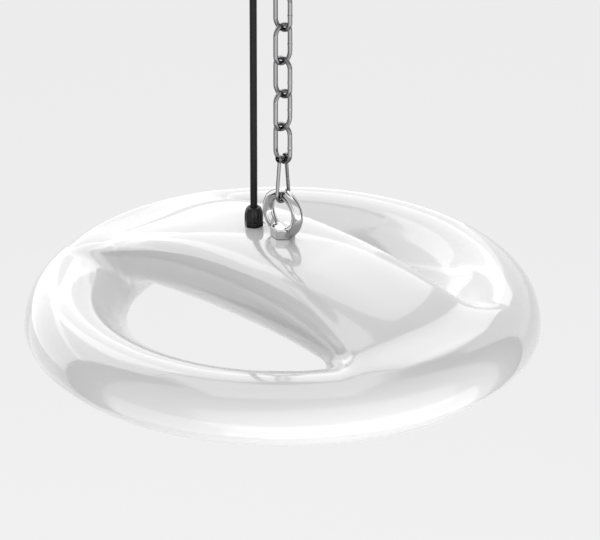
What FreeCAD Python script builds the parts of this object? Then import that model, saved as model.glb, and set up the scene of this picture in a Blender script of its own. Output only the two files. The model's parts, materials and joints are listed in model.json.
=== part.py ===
import FreeCAD, Part
import math
import os
import re
import Sketcher
from FreeCAD import Placement, Rotation, Vector

# Hanging ring seat: a hollow moulded plastic ring with a raised bridge and two leg holes. An eye
# nut on the bridge hangs in a shackle and a long link chain from a ceiling plate, and a power cable
# runs beside the chain. +Z is up, +X runs along the bridge, and the origin is the centre of the
# ceiling plate's face.

SIZES = (
    # seat shell
    ("ring_radius", 306.0, "ring, radius of the centreline"),
    ("ring_outer_reach", 55.0, "ring, width of its section outside the centreline"),
    ("ring_inner_reach", 80.0, "ring, width of its section inside the centreline"),
    ("ring_crest", 61.0, "ring, height of the crest over the widest level"),
    ("ring_belly", 31.0, "ring, depth of the belly under the widest level"),
    ("shell_wall", 6.0, "shell, moulded wall"),
    ("bridge_crown", 127.0, "bridge, height of its top at the middle"),
    ("bridge_spring", 44.0, "bridge, height of its top at the ring's centreline"),
    ("bridge_floor", 21.0, "bridge, height of its underside at the middle"),
    ("bridge_toe", 4.0, "bridge, height of its underside at the ring's centreline"),
    ("bridge_half_width", 105.0, "bridge, half width at the middle"),
    ("bridge_flare", 22.0, "bridge, extra half width at the ring's centreline"),
    ("arch_power", 2.4, "bridge, power of the fall from crown to spring"),
    ("flare_power", 2.5, "bridge, power of the flare"),
    ("section_power", 3.0, "bridge, power of its rounded section"),
    ("junction_radius", 34.0, "fillet where the bridge runs into the ring"),
    ("hollow_radius", 24.0, "the same fillet on the hollow inside"),
    ("pad_radius", 75.0, "thickened pad in the bridge's floor"),
    ("pad_thickness", 7.0, "material over the cover's recess"),
    ("crown_pad_radius", 40.0, "thickened pad under the eye nut"),
    ("crown_pad_thickness", 9.0, "material from the crown down to the pad's underside"),
    # eye nut
    ("eye_height", 71.0, "eye nut, total height"),
    ("eye_ring_radius", 28.0, "eye nut, radius of the ring's centreline"),
    ("eye_tube_radius", 8.0, "eye nut, radius of the ring's section"),
    ("eye_collar_flats", 30.0, "eye nut, hexagon collar across flats"),
    ("eye_collar_height", 15.0, "eye nut, height of the collar"),
    ("eye_gasket_radius", 14.5, "rubber ring under the eye nut"),
    ("eye_gasket_thickness", 1.5, "rubber ring under the eye nut"),
    # shackle
    ("shackle_wire_radius", 2.5, "shackle, wire of the bow"),
    ("shackle_pin_radius", 2.5, "shackle, pin"),
    ("shackle_pin_slack", 0.1, "shackle, room round the pin in the ears"),
    ("shackle_reach", 66.1, "shackle, from the pin to the bow's lowest wire centre"),
    ("shackle_bow_slack", 0.7, "shackle, room each side of the eye nut's ring"),
    ("shackle_ear_radius", 5.0, "shackle, flattened ears"),
    ("shackle_ear_thickness", 5.0, "shackle, flattened ears"),
    ("shackle_ear_slack", 0.45, "shackle, room each side of the link"),
    ("shackle_pin_head_radius", 4.5, "shackle, head of the pin"),
    ("shackle_pin_head_height", 1.8, "shackle, head of the pin"),
    # chain
    ("link_wire_radius", 3.25, "chain, wire"),
    ("link_inner_length", 49.0, "chain, inner length of a link"),
    ("link_inner_width", 21.0, "chain, inner width of a link"),
    ("link_count", 6, "chain, number of links"),
    ("hang_gap", 0.3, "play left where one hanging piece meets the next"),
    # ceiling fitting
    ("plate_radius", 90.0, "ceiling plate"),
    ("plate_thickness", 8.0, "ceiling plate"),
    ("plate_hole_radius", 5.5, "ceiling plate, fixing holes"),
    ("plate_hole_circle", 70.0, "ceiling plate, radius of the fixing holes' circle"),
    ("plate_hole_count", 4, "ceiling plate, fixing holes"),
    ("lug_drop", 34.0, "lugs, from the ceiling to the bolt"),
    ("lug_half_width", 15.0, "lugs, half width and round end"),
    ("lug_thickness", 6.0, "lugs, thickness"),
    ("lug_half_gap", 8.0, "lugs, half the gap between them"),
    ("clevis_bolt_radius", 5.0, "clevis bolt, shank"),
    ("clevis_bolt_slack", 0.25, "clevis bolt, radial room in the lugs"),
    ("clevis_head_flats", 16.0, "clevis bolt and nut, across flats"),
    ("clevis_head_height", 6.4, "clevis bolt, head"),
    ("clevis_nut_height", 9.0, "clevis nut"),
    ("clevis_tail", 3.0, "clevis bolt, thread past the nut"),
    ("clevis_washer_radius", 10.0, "clevis washers"),
    ("clevis_washer_thickness", 2.0, "clevis washers"),
    ("bush_radius", 7.0, "nylon bush that the top link turns on"),
    ("bush_slack", 0.05, "nylon bush, radial room on the bolt"),
    ("bush_end_play", 0.2, "nylon bush, room at each lug"),
    # cable and glands
    ("cable_radius", 5.0, "power cable"),
    ("cable_offset", 57.0, "power cable, distance from the chain"),
    ("cable_cut_back", 0.5, "power cable, upper end under the ceiling"),
    ("gland_thread_radius", 10.0, "gland, thread"),
    ("gland_flats", 24.0, "gland, body and locknut across flats"),
    ("gland_hex_height", 7.5, "gland, hexagon of the body"),
    ("gland_neck_radius", 8.8, "gland, neck inside the nut"),
    ("gland_neck_height", 7.0, "gland, neck inside the nut"),
    ("gland_bore_radius", 6.5, "gland, bore round the seal"),
    ("gland_nut_radius", 13.2, "gland, nut"),
    ("gland_nut_height", 20.5, "gland, nut"),
    ("gland_nut_barrel", 7.0, "gland, straight part of the nut"),
    ("gland_mouth_radius", 7.5, "gland, flat round the nut's mouth"),
    ("gland_notch_radius", 1.3, "gland, grip notches of the nut"),
    ("gland_notch_count", 10, "gland, grip notches of the nut"),
    ("gland_seal_root", 6.0, "gland, lower end of the seal over the base"),
    ("ceiling_thread_length", 7.5, "ceiling gland, thread"),
    ("seat_thread_length", 12.0, "seat gland, thread"),
    ("seat_gland_drop", 2.4, "seat gland, base under the crown"),
    ("seat_gland_face", 16.0, "seat gland, radius of its flat seat"),
    ("seat_gland_pad", 24.0, "seat gland, radius of the thickened pad"),
    ("locknut_height", 5.0, "seat gland, locknut"),
    # tie rod and base
    ("rod_radius", 10.0, "tie rod"),
    ("rod_slack", 0.5, "tie rod, radial room in the seat and the plates"),
    ("rod_engagement", 13.0, "tie rod, length screwed into the eye nut"),
    ("rod_tail", 2.5, "tie rod, thread past the nut"),
    ("tube_radius", 17.0, "compression tube, outside"),
    ("tube_wall", 5.0, "compression tube, wall"),
    ("cover_radius", 50.0, "base cover"),
    ("cover_thickness", 5.0, "base cover"),
    ("cover_slack", 0.4, "base cover, radial room in the recess"),
    ("cover_rise", 0.5, "base cover, underside over the bridge's floor"),
    ("cover_gasket_thickness", 1.5, "cover gasket"),
    ("access_radius", 30.0, "hole in the bridge's floor"),
    ("cover_screw_radius", 2.5, "cover screws, shank"),
    ("cover_screw_length", 11.0, "cover screws, shank under the head"),
    ("cover_screw_head", 4.5, "cover screws, radius of the head"),
    ("cover_screw_head_height", 3.0, "cover screws, height of the head"),
    ("cover_screw_circle", 40.0, "cover screws, radius of their circle"),
    ("cover_screw_count", 6, "cover screws"),
    ("cover_hole_slack", 0.2, "cover screws, radial room in the cover"),
    ("rod_washer_radius", 25.0, "load washer"),
    ("rod_washer_thickness", 4.0, "load washer"),
    ("rod_nut_flats", 30.0, "nut of the tie rod, across flats"),
    ("rod_nut_height", 16.0, "nut of the tie rod"),
    ("cap_wall", 2.0, "cap over the nut"),
    ("cap_room", 1.0, "cap, room under the rod's end"),
    ("block_length", 22.0, "terminal block, along Y"),
    ("block_width", 18.0, "terminal block, along X"),
    ("block_height", 16.0, "terminal block"),
    ("block_screw_radius", 2.2, "terminal block, screw wells"),
    ("board_outer", 28.0, "lamp board, outside radius"),
    ("board_inner", 18.5, "lamp board, inside radius"),
    ("board_thickness", 1.6, "lamp board"),
    ("chip_side", 5.0, "lamp chips"),
    ("chip_height", 1.6, "lamp chips"),
    ("chip_circle", 23.2, "lamp chips, radius of their circle"),
    ("chip_count", 8, "lamp chips"),
)

FULL_TURN = 360.0
FIRST_HOLE = 45.0
HEX_SIDES = 6
SECTION_POINTS = 32
Z_AXIS = Vector(0, 0, 1)
Y_AXIS = Vector(0, 1, 0)
X_AXIS = Vector(1, 0, 0)
ALONG_X = Rotation(Y_AXIS, 90)
ALONG_Y = Rotation(X_AXIS, -90)
ALONG_MINUS_Y = Rotation(X_AXIS, 90)
UPSIDE_DOWN = Rotation(X_AXIS, 180)
QUARTER_TURN = Rotation(Z_AXIS, 90)
EIGHTH_TURN = Rotation(Z_AXIS, 45)
# sketch geometry: the root point, the axes and the ends of a line, by their numbers
ROOT_POINT = -1
HORIZONTAL_AXIS = -1
VERTICAL_AXIS = -2
START_POINT = 1
END_POINT = 2
# stations along the half bridge, as shares of the ring's radius, closer together where it flares
BRIDGE_STATIONS = (0.0, 0.25, 0.5, 0.7, 0.875, 1.0)

doc = FreeCAD.newDocument("HangingSeat")
sheet = doc.addObject("Spreadsheet::Sheet", "Sizes")
for row, (alias, value, note) in enumerate(SIZES, start=1):
    sheet.set("A%d" % row, alias)
    sheet.set("B%d" % row, "%g" % value)
    sheet.set("C%d" % row, note)
    sheet.setAlias("B%d" % row, alias)
doc.recompute()

NODES = []


def size(alias):
    """Returns a driving dimension from the sheet."""
    return float(sheet.get(alias))


def on_sheet(expression):
    """Turns an expression of aliases into one that reads the sheet's cells."""
    return re.sub(r"[a-z]+(?:_[a-z]+)+", r"Sizes.\g<0>", expression)


def bind(obj, **expressions):
    """Binds properties of an object to expressions of aliases."""
    for prop, expression in expressions.items():
        obj.setExpression(prop, on_sheet(expression))
    return obj


def node(obj, label, place=Placement()):
    """Makes an object a sub-part: gives it its label and its place."""
    obj.Label = label
    obj.Placement = place
    NODES.append(obj)
    return obj


def at(x, y, z, rotation=Rotation()):
    """Returns a placement from a position and a rotation."""
    return Placement(Vector(x, y, z), rotation)


def cylinder(name, radius, height, place=Placement()):
    """Adds a cylinder whose radius and height are expressions."""
    obj = doc.addObject("Part::Cylinder", name)
    obj.Placement = place
    return bind(obj, Radius=radius, Height=height)


def box(name, length, width, height, place=Placement()):
    """Adds a box whose three sides are expressions, with its corner at the placement."""
    obj = doc.addObject("Part::Box", name)
    obj.Placement = place
    return bind(obj, Length=length, Width=width, Height=height)


def hexagon(name, flats, height, place=Placement()):
    """Adds a hexagonal prism from its size across flats."""
    obj = doc.addObject("Part::Prism", name)
    obj.Polygon = HEX_SIDES
    obj.Placement = place
    return bind(obj, Circumradius="%s / 2 / cos(30 deg)" % flats, Height=height)


def joined(name, *shapes):
    """Fuses objects into one."""
    obj = doc.addObject("Part::MultiFuse", name)
    obj.Shapes = list(shapes)
    return obj


def cut(name, base, *tools):
    """Cuts one or more objects out of a base."""
    obj = doc.addObject("Part::Cut", name)
    obj.Base = base
    obj.Tool = tools[0] if len(tools) == 1 else joined(name + "_tools", *tools)
    return obj


def on_circle(count, radius, z, first=0.0):
    """Yields the places of equal copies on a circle about Z."""
    for index in range(int(count)):
        turn = Rotation(Z_AXIS, first + FULL_TURN * index / count)
        yield Placement(turn.multVec(Vector(radius, 0, z)), turn)


def pin_corner(sketch, index, kind, expression, axis):
    """Holds one coordinate of a sketch corner at an expression, or on the axis where it is 0."""
    if expression == "0":
        sketch.addConstraint(Sketcher.Constraint("PointOnObject", index, START_POINT, axis))
        return
    held = sketch.addConstraint(
        Sketcher.Constraint(kind, ROOT_POINT, START_POINT, index, START_POINT, 1.0)
    )
    sketch.setExpression("Constraints[%d]" % held, on_sheet(expression))


def turned(name, *outline):
    """Adds a body turned about Z from a closed outline of (radius, height) expressions."""
    body = doc.addObject("PartDesign::Body", name)
    plane = next(f for f in body.Origin.OriginFeatures if f.Role == "XZ_Plane")
    sketch = body.newObject("Sketcher::SketchObject", name + "_outline")
    sketch.AttachmentSupport = (plane, [""])
    sketch.MapMode = "FlatFace"
    count = len(outline)
    for index in range(count):
        near, far = (
            Rotation(Z_AXIS, -FULL_TURN * step / count).multVec(Vector(1, 0, 0))
            for step in (index, index + 1)
        )
        sketch.addGeometry(Part.LineSegment(near, far), False)
    for index in range(count):
        following = (index + 1) % count
        sketch.addConstraint(
            Sketcher.Constraint("Coincident", index, END_POINT, following, START_POINT)
        )
    for index, (radius, height) in enumerate(outline):
        pin_corner(sketch, index, "DistanceX", radius, VERTICAL_AXIS)
        pin_corner(sketch, index, "DistanceY", height, HORIZONTAL_AXIS)
    turning = body.newObject("PartDesign::Revolution", name + "_turning")
    turning.Profile = sketch
    turning.ReferenceAxis = (sketch, ["V_Axis"])
    turning.Angle = FULL_TURN
    return body


def ring_of(name, inner, outer, height):
    """Adds a turned tube or washer that stands on Z = 0."""
    return turned(name, (inner, "0"), (outer, "0"), (outer, height), (inner, height))


# --- levels, from the ceiling down -------------------------------------------------------------------

bolt_level = -size("lug_drop")
crown_spacing = size("link_inner_length") + size("link_wire_radius") * 2
crown_radius = size("link_inner_width") / 2 + size("link_wire_radius")
link_pitch = size("link_inner_length") - size("hang_gap")
top_crown_level = bolt_level + size("bush_radius") + size("hang_gap") + size("link_wire_radius")
top_link_level = top_crown_level - crown_spacing / 2
link_levels = [top_link_level - link_pitch * index for index in range(int(size("link_count")))]
last_crown_level = link_levels[-1] - crown_spacing / 2
pin_level = last_crown_level + size("link_wire_radius") + size("hang_gap") + size("shackle_pin_radius")
bow_level = pin_level - size("shackle_reach")
eye_hang_level = bow_level + size("shackle_wire_radius") + size("hang_gap") + size("eye_tube_radius")
eye_base_level = eye_hang_level + size("eye_tube_radius") - size("eye_height")
seat_level = eye_base_level - size("bridge_crown")
crown_pad_level = seat_level + size("bridge_crown") - size("crown_pad_thickness")
gland_level = seat_level + size("bridge_crown") - size("seat_gland_drop")
cover_level = seat_level + size("bridge_floor") + size("cover_rise")
cover_top_level = cover_level + size("cover_thickness")
recess_level = cover_top_level + size("cover_gasket_thickness")
pad_level = recess_level + size("pad_thickness")
washer_level = cover_level - size("rod_washer_thickness")
nut_level = washer_level - size("rod_nut_height")
block_level = pad_level + size("block_height")


# --- ceiling fitting ---------------------------------------------------------------------------------

def make_ceiling_plate():
    """Makes the round plate with its two welded lugs, fixing holes and cable hole."""
    thickness = size("plate_thickness")
    disc = cylinder("plate_disc", "plate_radius", "plate_thickness", at(0, 0, -thickness))
    pieces = [disc]
    for side in (-1, 1):
        outer_face = side * (size("lug_half_gap") + size("lug_thickness") / 2)
        start = outer_face - size("lug_thickness") / 2
        name = "lug_a" if side < 0 else "lug_b"
        web = box(
            name + "_web",
            "lug_thickness",
            "lug_half_width * 2",
            "lug_drop - plate_thickness",
            at(start, -size("lug_half_width"), bolt_level),
        )
        nose_place = at(start, 0, bolt_level, ALONG_X)
        nose = cylinder(name + "_nose", "lug_half_width", "lug_thickness", nose_place)
        pieces += [web, nose]
    holes = [
        cylinder("plate_hole_%d" % i, "plate_hole_radius", "plate_thickness * 2", place)
        for i, place in enumerate(
            on_circle(size("plate_hole_count"), size("plate_hole_circle"), -thickness * 3 / 2, FIRST_HOLE)
        )
    ]
    cable_hole = cylinder(
        "plate_cable_hole",
        "gland_thread_radius",
        "plate_thickness * 2",
        at(-size("cable_offset"), 0, -thickness * 3 / 2),
    )
    reach = size("lug_half_gap") + size("lug_thickness") * 2
    bolt_hole = cylinder(
        "plate_bolt_hole",
        "clevis_bolt_radius + clevis_bolt_slack",
        "(lug_half_gap + lug_thickness * 2) * 2",
        at(-reach, 0, bolt_level, ALONG_X),
    )
    body = cut("plate_cut", joined("plate_joined", *pieces), cable_hole, bolt_hole, *holes)
    node(body, "ceiling_plate")


def make_clevis():
    """Makes the clevis bolt with its bush, washers and nut."""
    lug_face = size("lug_half_gap") + size("lug_thickness")
    washer_face = lug_face + size("clevis_washer_thickness")
    bush_start = size("bush_end_play") - size("lug_half_gap")
    bush = ring_of(
        "bush",
        "clevis_bolt_radius + bush_slack",
        "bush_radius",
        "(lug_half_gap - bush_end_play) * 2",
    )
    node(bush, "clevis_bush", at(bush_start, 0, bolt_level, ALONG_X))
    shank = cylinder(
        "bolt_shank",
        "clevis_bolt_radius",
        "(lug_half_gap + lug_thickness + clevis_washer_thickness) * 2 + clevis_nut_height + clevis_tail",
    )
    head = hexagon(
        "bolt_head", "clevis_head_flats", "clevis_head_height", at(0, 0, -size("clevis_head_height"))
    )
    node(joined("bolt_joined", shank, head), "clevis_bolt", at(-washer_face, 0, bolt_level, ALONG_X))
    washers = [
        cut(
            "washer_%s" % side,
            cylinder("washer_%s_disc" % side, "clevis_washer_radius", "clevis_washer_thickness", place),
            cylinder("washer_%s_bore" % side, "clevis_bolt_radius", "clevis_washer_thickness", place),
        )
        for side, place in (("a", at(0, 0, -washer_face)), ("b", at(0, 0, lug_face)))
    ]
    pair = doc.addObject("Part::Compound", "washers")
    pair.Links = washers
    node(pair, "clevis_washers", at(0, 0, bolt_level, ALONG_X))
    nut = cut(
        "clevis_nut_cut",
        hexagon("clevis_nut_hex", "clevis_head_flats", "clevis_nut_height"),
        cylinder("clevis_nut_bore", "clevis_bolt_radius", "clevis_nut_height"),
    )
    node(nut, "clevis_nut", at(washer_face, 0, bolt_level, ALONG_X))


# --- cable glands ------------------------------------------------------------------------------------

def make_gland(side, thread_length, place):
    """Makes a cable gland whose base stands on Z = 0: body, grip nut and seal."""
    thread = size(thread_length)
    core = joined(
        side + "_core",
        hexagon(side + "_hex", "gland_flats", "gland_hex_height"),
        cylinder(side + "_neck", "gland_neck_radius", "gland_hex_height + gland_neck_height"),
        cylinder(side + "_thread", "gland_thread_radius", thread_length, at(0, 0, -thread)),
    )
    bore = cylinder(
        side + "_bore",
        "gland_bore_radius",
        "%s + gland_hex_height + gland_neck_height" % thread_length,
        at(0, 0, -thread),
    )
    node(cut(side + "_body_cut", core, bore), side + "_gland_body", place)

    barrel = turned(
        side + "_barrel",
        ("gland_neck_radius", "0"),
        ("gland_nut_radius", "0"),
        ("gland_nut_radius", "gland_nut_barrel"),
        (
            "(gland_nut_radius * 2 + gland_mouth_radius) / 3",
            "(gland_nut_barrel + gland_nut_height * 2) / 3",
        ),
        ("gland_mouth_radius", "gland_nut_height"),
        ("gland_bore_radius", "gland_nut_height"),
        ("gland_bore_radius", "gland_neck_height"),
        ("gland_neck_radius", "gland_neck_height"),
    )
    notches = [
        cylinder("%s_notch_%d" % (side, i), "gland_notch_radius", "gland_nut_height", notch)
        for i, notch in enumerate(
            on_circle(size("gland_notch_count"), size("gland_nut_radius"), 0)
        )
    ]
    grip = cut(side + "_nut_cut", barrel, *notches)
    node(grip, side + "_gland_nut", place.multiply(at(0, 0, size("gland_hex_height"))))

    seal = ring_of(
        side + "_seal",
        "cable_radius",
        "gland_bore_radius",
        "gland_hex_height + gland_nut_height - gland_seal_root",
    )
    node(seal, side + "_gland_seal", place.multiply(at(0, 0, size("gland_seal_root"))))


def make_locknut():
    """Makes the locknut that draws the seat's gland down from inside."""
    nut = cut(
        "locknut_cut",
        hexagon("locknut_hex", "gland_flats", "locknut_height"),
        cylinder("locknut_bore", "gland_thread_radius", "locknut_height"),
    )
    place = at(-size("cable_offset"), 0, crown_pad_level - size("locknut_height"))
    node(nut, "seat_gland_locknut", place)


def make_cable():
    """Makes the power cable, a plain straight tube from the ceiling to the terminal block."""
    cable = doc.addObject("Part::Cylinder", "cable")
    bind(cable, Radius="cable_radius")
    cable.Height = -size("cable_cut_back") - block_level
    node(cable, "power_cable", at(-size("cable_offset"), 0, block_level))


# --- chain, shackle and eye nut ----------------------------------------------------------------------

def make_link(number, level, place_turn):
    """Makes one link of two half rings and two straight sides, in the plane XZ before its turn."""
    name = "link_%d" % number
    half_side = (crown_spacing - crown_radius * 2) / 2
    pieces = []
    for tag, tilt, height in (("upper", ALONG_MINUS_Y, half_side), ("lower", ALONG_Y, -half_side)):
        bend = doc.addObject("Part::Torus", "%s_%s" % (name, tag))
        bend.Angle3 = FULL_TURN / 2
        bend.Placement = at(0, 0, height, tilt)
        bind(bend, Radius1="link_inner_width / 2 + link_wire_radius", Radius2="link_wire_radius")
        pieces.append(bend)
    for tag, side in (("left", -1), ("right", 1)):
        straight = cylinder(
            "%s_%s" % (name, tag),
            "link_wire_radius",
            "link_inner_length - link_inner_width",
            at(side * crown_radius, 0, -half_side),
        )
        pieces.append(straight)
    node(joined(name + "_joined", *pieces), "chain_" + name, at(0, 0, level, place_turn))


def make_shackle():
    """Makes the bow, whose wire widens round the eye nut and narrows to two ears, and its pin."""
    wire = size("shackle_wire_radius")
    ear_thickness = size("shackle_ear_thickness")
    ear_inner = size("link_wire_radius") + size("shackle_ear_slack")
    ear_centre = ear_inner + ear_thickness / 2
    bow_radius = size("eye_tube_radius") + size("shackle_bow_slack") + wire
    bow_centre = Vector(0, 0, bow_level + bow_radius)
    ear_place = Vector(0, ear_centre, pin_level)
    offset = ear_place - bow_centre
    lean = math.atan2(offset.y, offset.z) + math.acos(bow_radius / offset.Length)
    right_end = bow_centre + Vector(0, bow_radius * math.sin(lean), bow_radius * math.cos(lean))
    left_end = Vector(0, -right_end.y, right_end.z)
    lowest = Vector(0, 0, bow_level)
    left_ear = Vector(0, -ear_place.y, ear_place.z)
    path = Part.Wire([
        Part.LineSegment(ear_place, right_end).toShape(),
        Part.Arc(right_end, lowest, left_end).toShape(),
        Part.LineSegment(left_end, left_ear).toShape(),
    ])
    section = Part.Wire(Part.Circle(ear_place, right_end - ear_place, wire).toShape())
    bow = path.makePipeShell([section], True, True)
    bore_radius = size("shackle_pin_radius") + size("shackle_pin_slack")
    for side in (-1, 1):
        low = side * ear_centre - ear_thickness / 2
        base = Vector(0, low, pin_level)
        bow = bow.fuse(Part.makeCylinder(size("shackle_ear_radius"), ear_thickness, base, Y_AXIS))
    ear_outer = ear_inner + ear_thickness
    head = size("shackle_pin_head_height")
    clear_of_ears = Vector(0, -ear_outer, pin_level)
    bow = bow.cut(Part.makeCylinder(bore_radius, ear_outer * 2, clear_of_ears, Y_AXIS))
    faces = (
        (-ear_outer - head * 2, head * 2),
        (-ear_inner, ear_inner * 2),
        (ear_outer, head * 2),
    )
    for start, room in faces:
        facing = Part.makeCylinder(
            size("shackle_ear_radius"), room, Vector(0, start, pin_level), Y_AXIS
        )
        bow = bow.cut(facing)
    feature = doc.addObject("Part::Feature", "bow")
    feature.Shape = bow.removeSplitter()
    node(feature, "shackle_bow")

    shank = cylinder(
        "pin_shank",
        "shackle_pin_radius",
        "(link_wire_radius + shackle_ear_slack + shackle_ear_thickness) * 2 + shackle_pin_head_height",
    )
    head_place = at(0, 0, -head)
    pin_head = cylinder(
        "pin_head", "shackle_pin_head_radius", "shackle_pin_head_height", head_place
    )
    node(joined("pin_joined", shank, pin_head), "shackle_pin", at(0, -ear_outer, pin_level, ALONG_Y))


def make_eye_nut():
    """Makes the eye nut: a forged ring on a hexagon collar, bored for the tie rod."""
    ring_level = size("eye_height") - size("eye_ring_radius") - size("eye_tube_radius")
    ring = doc.addObject("Part::Torus", "eye_ring")
    ring.Placement = at(0, 0, ring_level, ALONG_Y)
    bind(ring, Radius1="eye_ring_radius", Radius2="eye_tube_radius")
    collar_place = at(0, 0, 0, EIGHTH_TURN)
    collar = hexagon("eye_collar", "eye_collar_flats", "eye_collar_height", collar_place)
    reach = size("eye_ring_radius") + size("eye_tube_radius")
    below = box(
        "eye_below",
        "(eye_ring_radius + eye_tube_radius) * 2",
        "(eye_ring_radius + eye_tube_radius) * 2",
        "eye_tube_radius * 2",
        at(-reach, -reach, -size("eye_tube_radius") * 2),
    )
    bore = cylinder("eye_bore", "rod_radius", "eye_height - eye_tube_radius * 2 - eye_ring_radius")
    forging = cut("eye_cut", joined("eye_joined", ring, collar), below, bore)
    node(forging, "eye_nut", at(0, 0, eye_base_level))
    gasket = ring_of(
        "eye_gasket_ring", "rod_radius + rod_slack", "eye_gasket_radius", "eye_gasket_thickness"
    )
    node(gasket, "eye_gasket", at(0, 0, eye_base_level - size("eye_gasket_thickness")))


# --- seat shell --------------------------------------------------------------------------------------

def ring_solid(inset):
    """Returns the ring, whose section is four quarter ellipses round one middle, inset by a wall."""
    middle = Vector(size("ring_radius"), 0, 0)
    inner = -X_AXIS * (size("ring_inner_reach") - inset)
    outer = X_AXIS * (size("ring_outer_reach") - inset)
    crest = Z_AXIS * (size("ring_crest") - inset)
    belly = -Z_AXIS * (size("ring_belly") - inset)
    quarters = []
    for across, up in ((outer, crest), (inner, crest), (inner, belly), (outer, belly)):
        far, near = sorted((across, up), key=lambda reach: -reach.Length)
        ellipse = Part.Ellipse(middle + far, middle + near, middle)
        ends = sorted(ellipse.parameter(middle + reach) for reach in (far, near))
        quarter = Part.ArcOfEllipse(ellipse, ends[0], ends[1])
        if ends[1] - ends[0] > math.pi:
            quarter = Part.ArcOfEllipse(ellipse, ends[1], ends[0] + math.tau)
        quarters.append(quarter.toShape())
    section = Part.Face(Part.Wire(Part.__sortEdges__(quarters)))
    ring = section.revolve(Vector(), Z_AXIS, FULL_TURN)
    ring.rotate(Vector(), Z_AXIS, FULL_TURN / 4)
    return ring


def bridge_section(station, inset):
    """Returns the bridge's rounded section at a signed share of the ring's radius."""
    share = abs(station)
    fall = share ** size("arch_power")
    top = size("bridge_crown") - (size("bridge_crown") - size("bridge_spring")) * fall
    floor = size("bridge_floor") - (size("bridge_floor") - size("bridge_toe")) * fall
    half_width = size("bridge_half_width") + size("bridge_flare") * share ** size("flare_power") - inset
    half_height = (top - floor) / 2 - inset
    rounding = 2 / size("section_power")
    points = []
    for index in range(SECTION_POINTS):
        angle = math.tau * index / SECTION_POINTS
        across = math.copysign(abs(math.cos(angle)) ** rounding, math.cos(angle))
        upward = math.copysign(abs(math.sin(angle)) ** rounding, math.sin(angle))
        height = (top + floor) / 2 + half_height * upward
        points.append(Vector(station * size("ring_radius"), half_width * across, height))
    outline = Part.BSplineCurve()
    outline.interpolate(points, PeriodicFlag=True)
    return Part.Wire(outline.toShape())


def bridge_solid(inset):
    """Returns the bridge, lofted from end to end and kept inside the ring's centreline."""
    stations = [-share for share in reversed(BRIDGE_STATIONS[1:])] + list(BRIDGE_STATIONS)
    loft = Part.makeLoft([bridge_section(station, inset) for station in stations], True, False)
    height = size("bridge_crown") * 2
    limit = Part.makeCylinder(size("ring_radius"), height * 2, Vector(0, 0, -height))
    return loft.common(limit)


def seat_form(inset, rounding):
    """Returns ring and bridge in one, inset by a wall, with the junction rounded."""
    ring = ring_solid(inset)
    form = ring.fuse(bridge_solid(inset))
    hole_radius = size("ring_radius") - size("ring_inner_reach")
    seams = [
        edge for edge in form.Edges
        if isinstance(edge.Curve, Part.BSplineCurve) and abs(edge.CenterOfMass.x) > hole_radius / 2
    ]
    return form.makeFillet(rounding, seams)


def make_seat_shell():
    """Makes the hollow shell, with pads inside for the fittings and holes for rod, gland and cover."""
    outer = seat_form(0, size("junction_radius"))
    crown_pad_base = size("bridge_crown") - size("crown_pad_thickness")
    gland_place = Vector(-size("cable_offset"), 0, crown_pad_base)
    pad_top = pad_level - seat_level
    pads = [
        Part.makeCylinder(size("crown_pad_radius"), size("bridge_crown"), Vector(0, 0, crown_pad_base)),
        Part.makeCylinder(size("seat_gland_pad"), size("bridge_crown"), gland_place),
        Part.makeCylinder(size("pad_radius"), pad_top),
    ]
    cavity = seat_form(size("shell_wall"), size("hollow_radius")).cut(pads)
    skins = outer.Shells + [skin.reversed() for skin in cavity.Shells]
    shell = Part.makeSolid(Part.makeCompound(skins))
    spot = size("bridge_crown") - size("eye_gasket_thickness")
    gland_spot = gland_place + Z_AXIS * (size("crown_pad_thickness") - size("seat_gland_drop"))
    recess_top = recess_level - seat_level
    screw_depth = size("cover_screw_length") - size("cover_thickness") - size("cover_gasket_thickness")
    above = size("bridge_crown")
    cuts = [
        Part.makeCylinder(size("eye_gasket_radius"), above, Vector(0, 0, spot)),
        Part.makeCylinder(size("seat_gland_face"), above, gland_spot),
        Part.makeCylinder(size("rod_radius") + size("rod_slack"), above, Vector(0, 0, crown_pad_base)),
        Part.makeCylinder(size("gland_thread_radius"), above, gland_place),
        Part.makeCylinder(size("cover_radius") + size("cover_slack"), recess_top),
        Part.makeCylinder(size("access_radius"), pad_top),
    ]
    for place in on_circle(size("cover_screw_count"), size("cover_screw_circle"), recess_top):
        cuts.append(Part.makeCylinder(size("cover_screw_radius"), screw_depth, place.Base))
    feature = doc.addObject("Part::Feature", "shell")
    feature.Shape = shell.cut(cuts)
    node(feature, "seat_shell", at(0, 0, seat_level))


# --- load path and base ------------------------------------------------------------------------------

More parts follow.
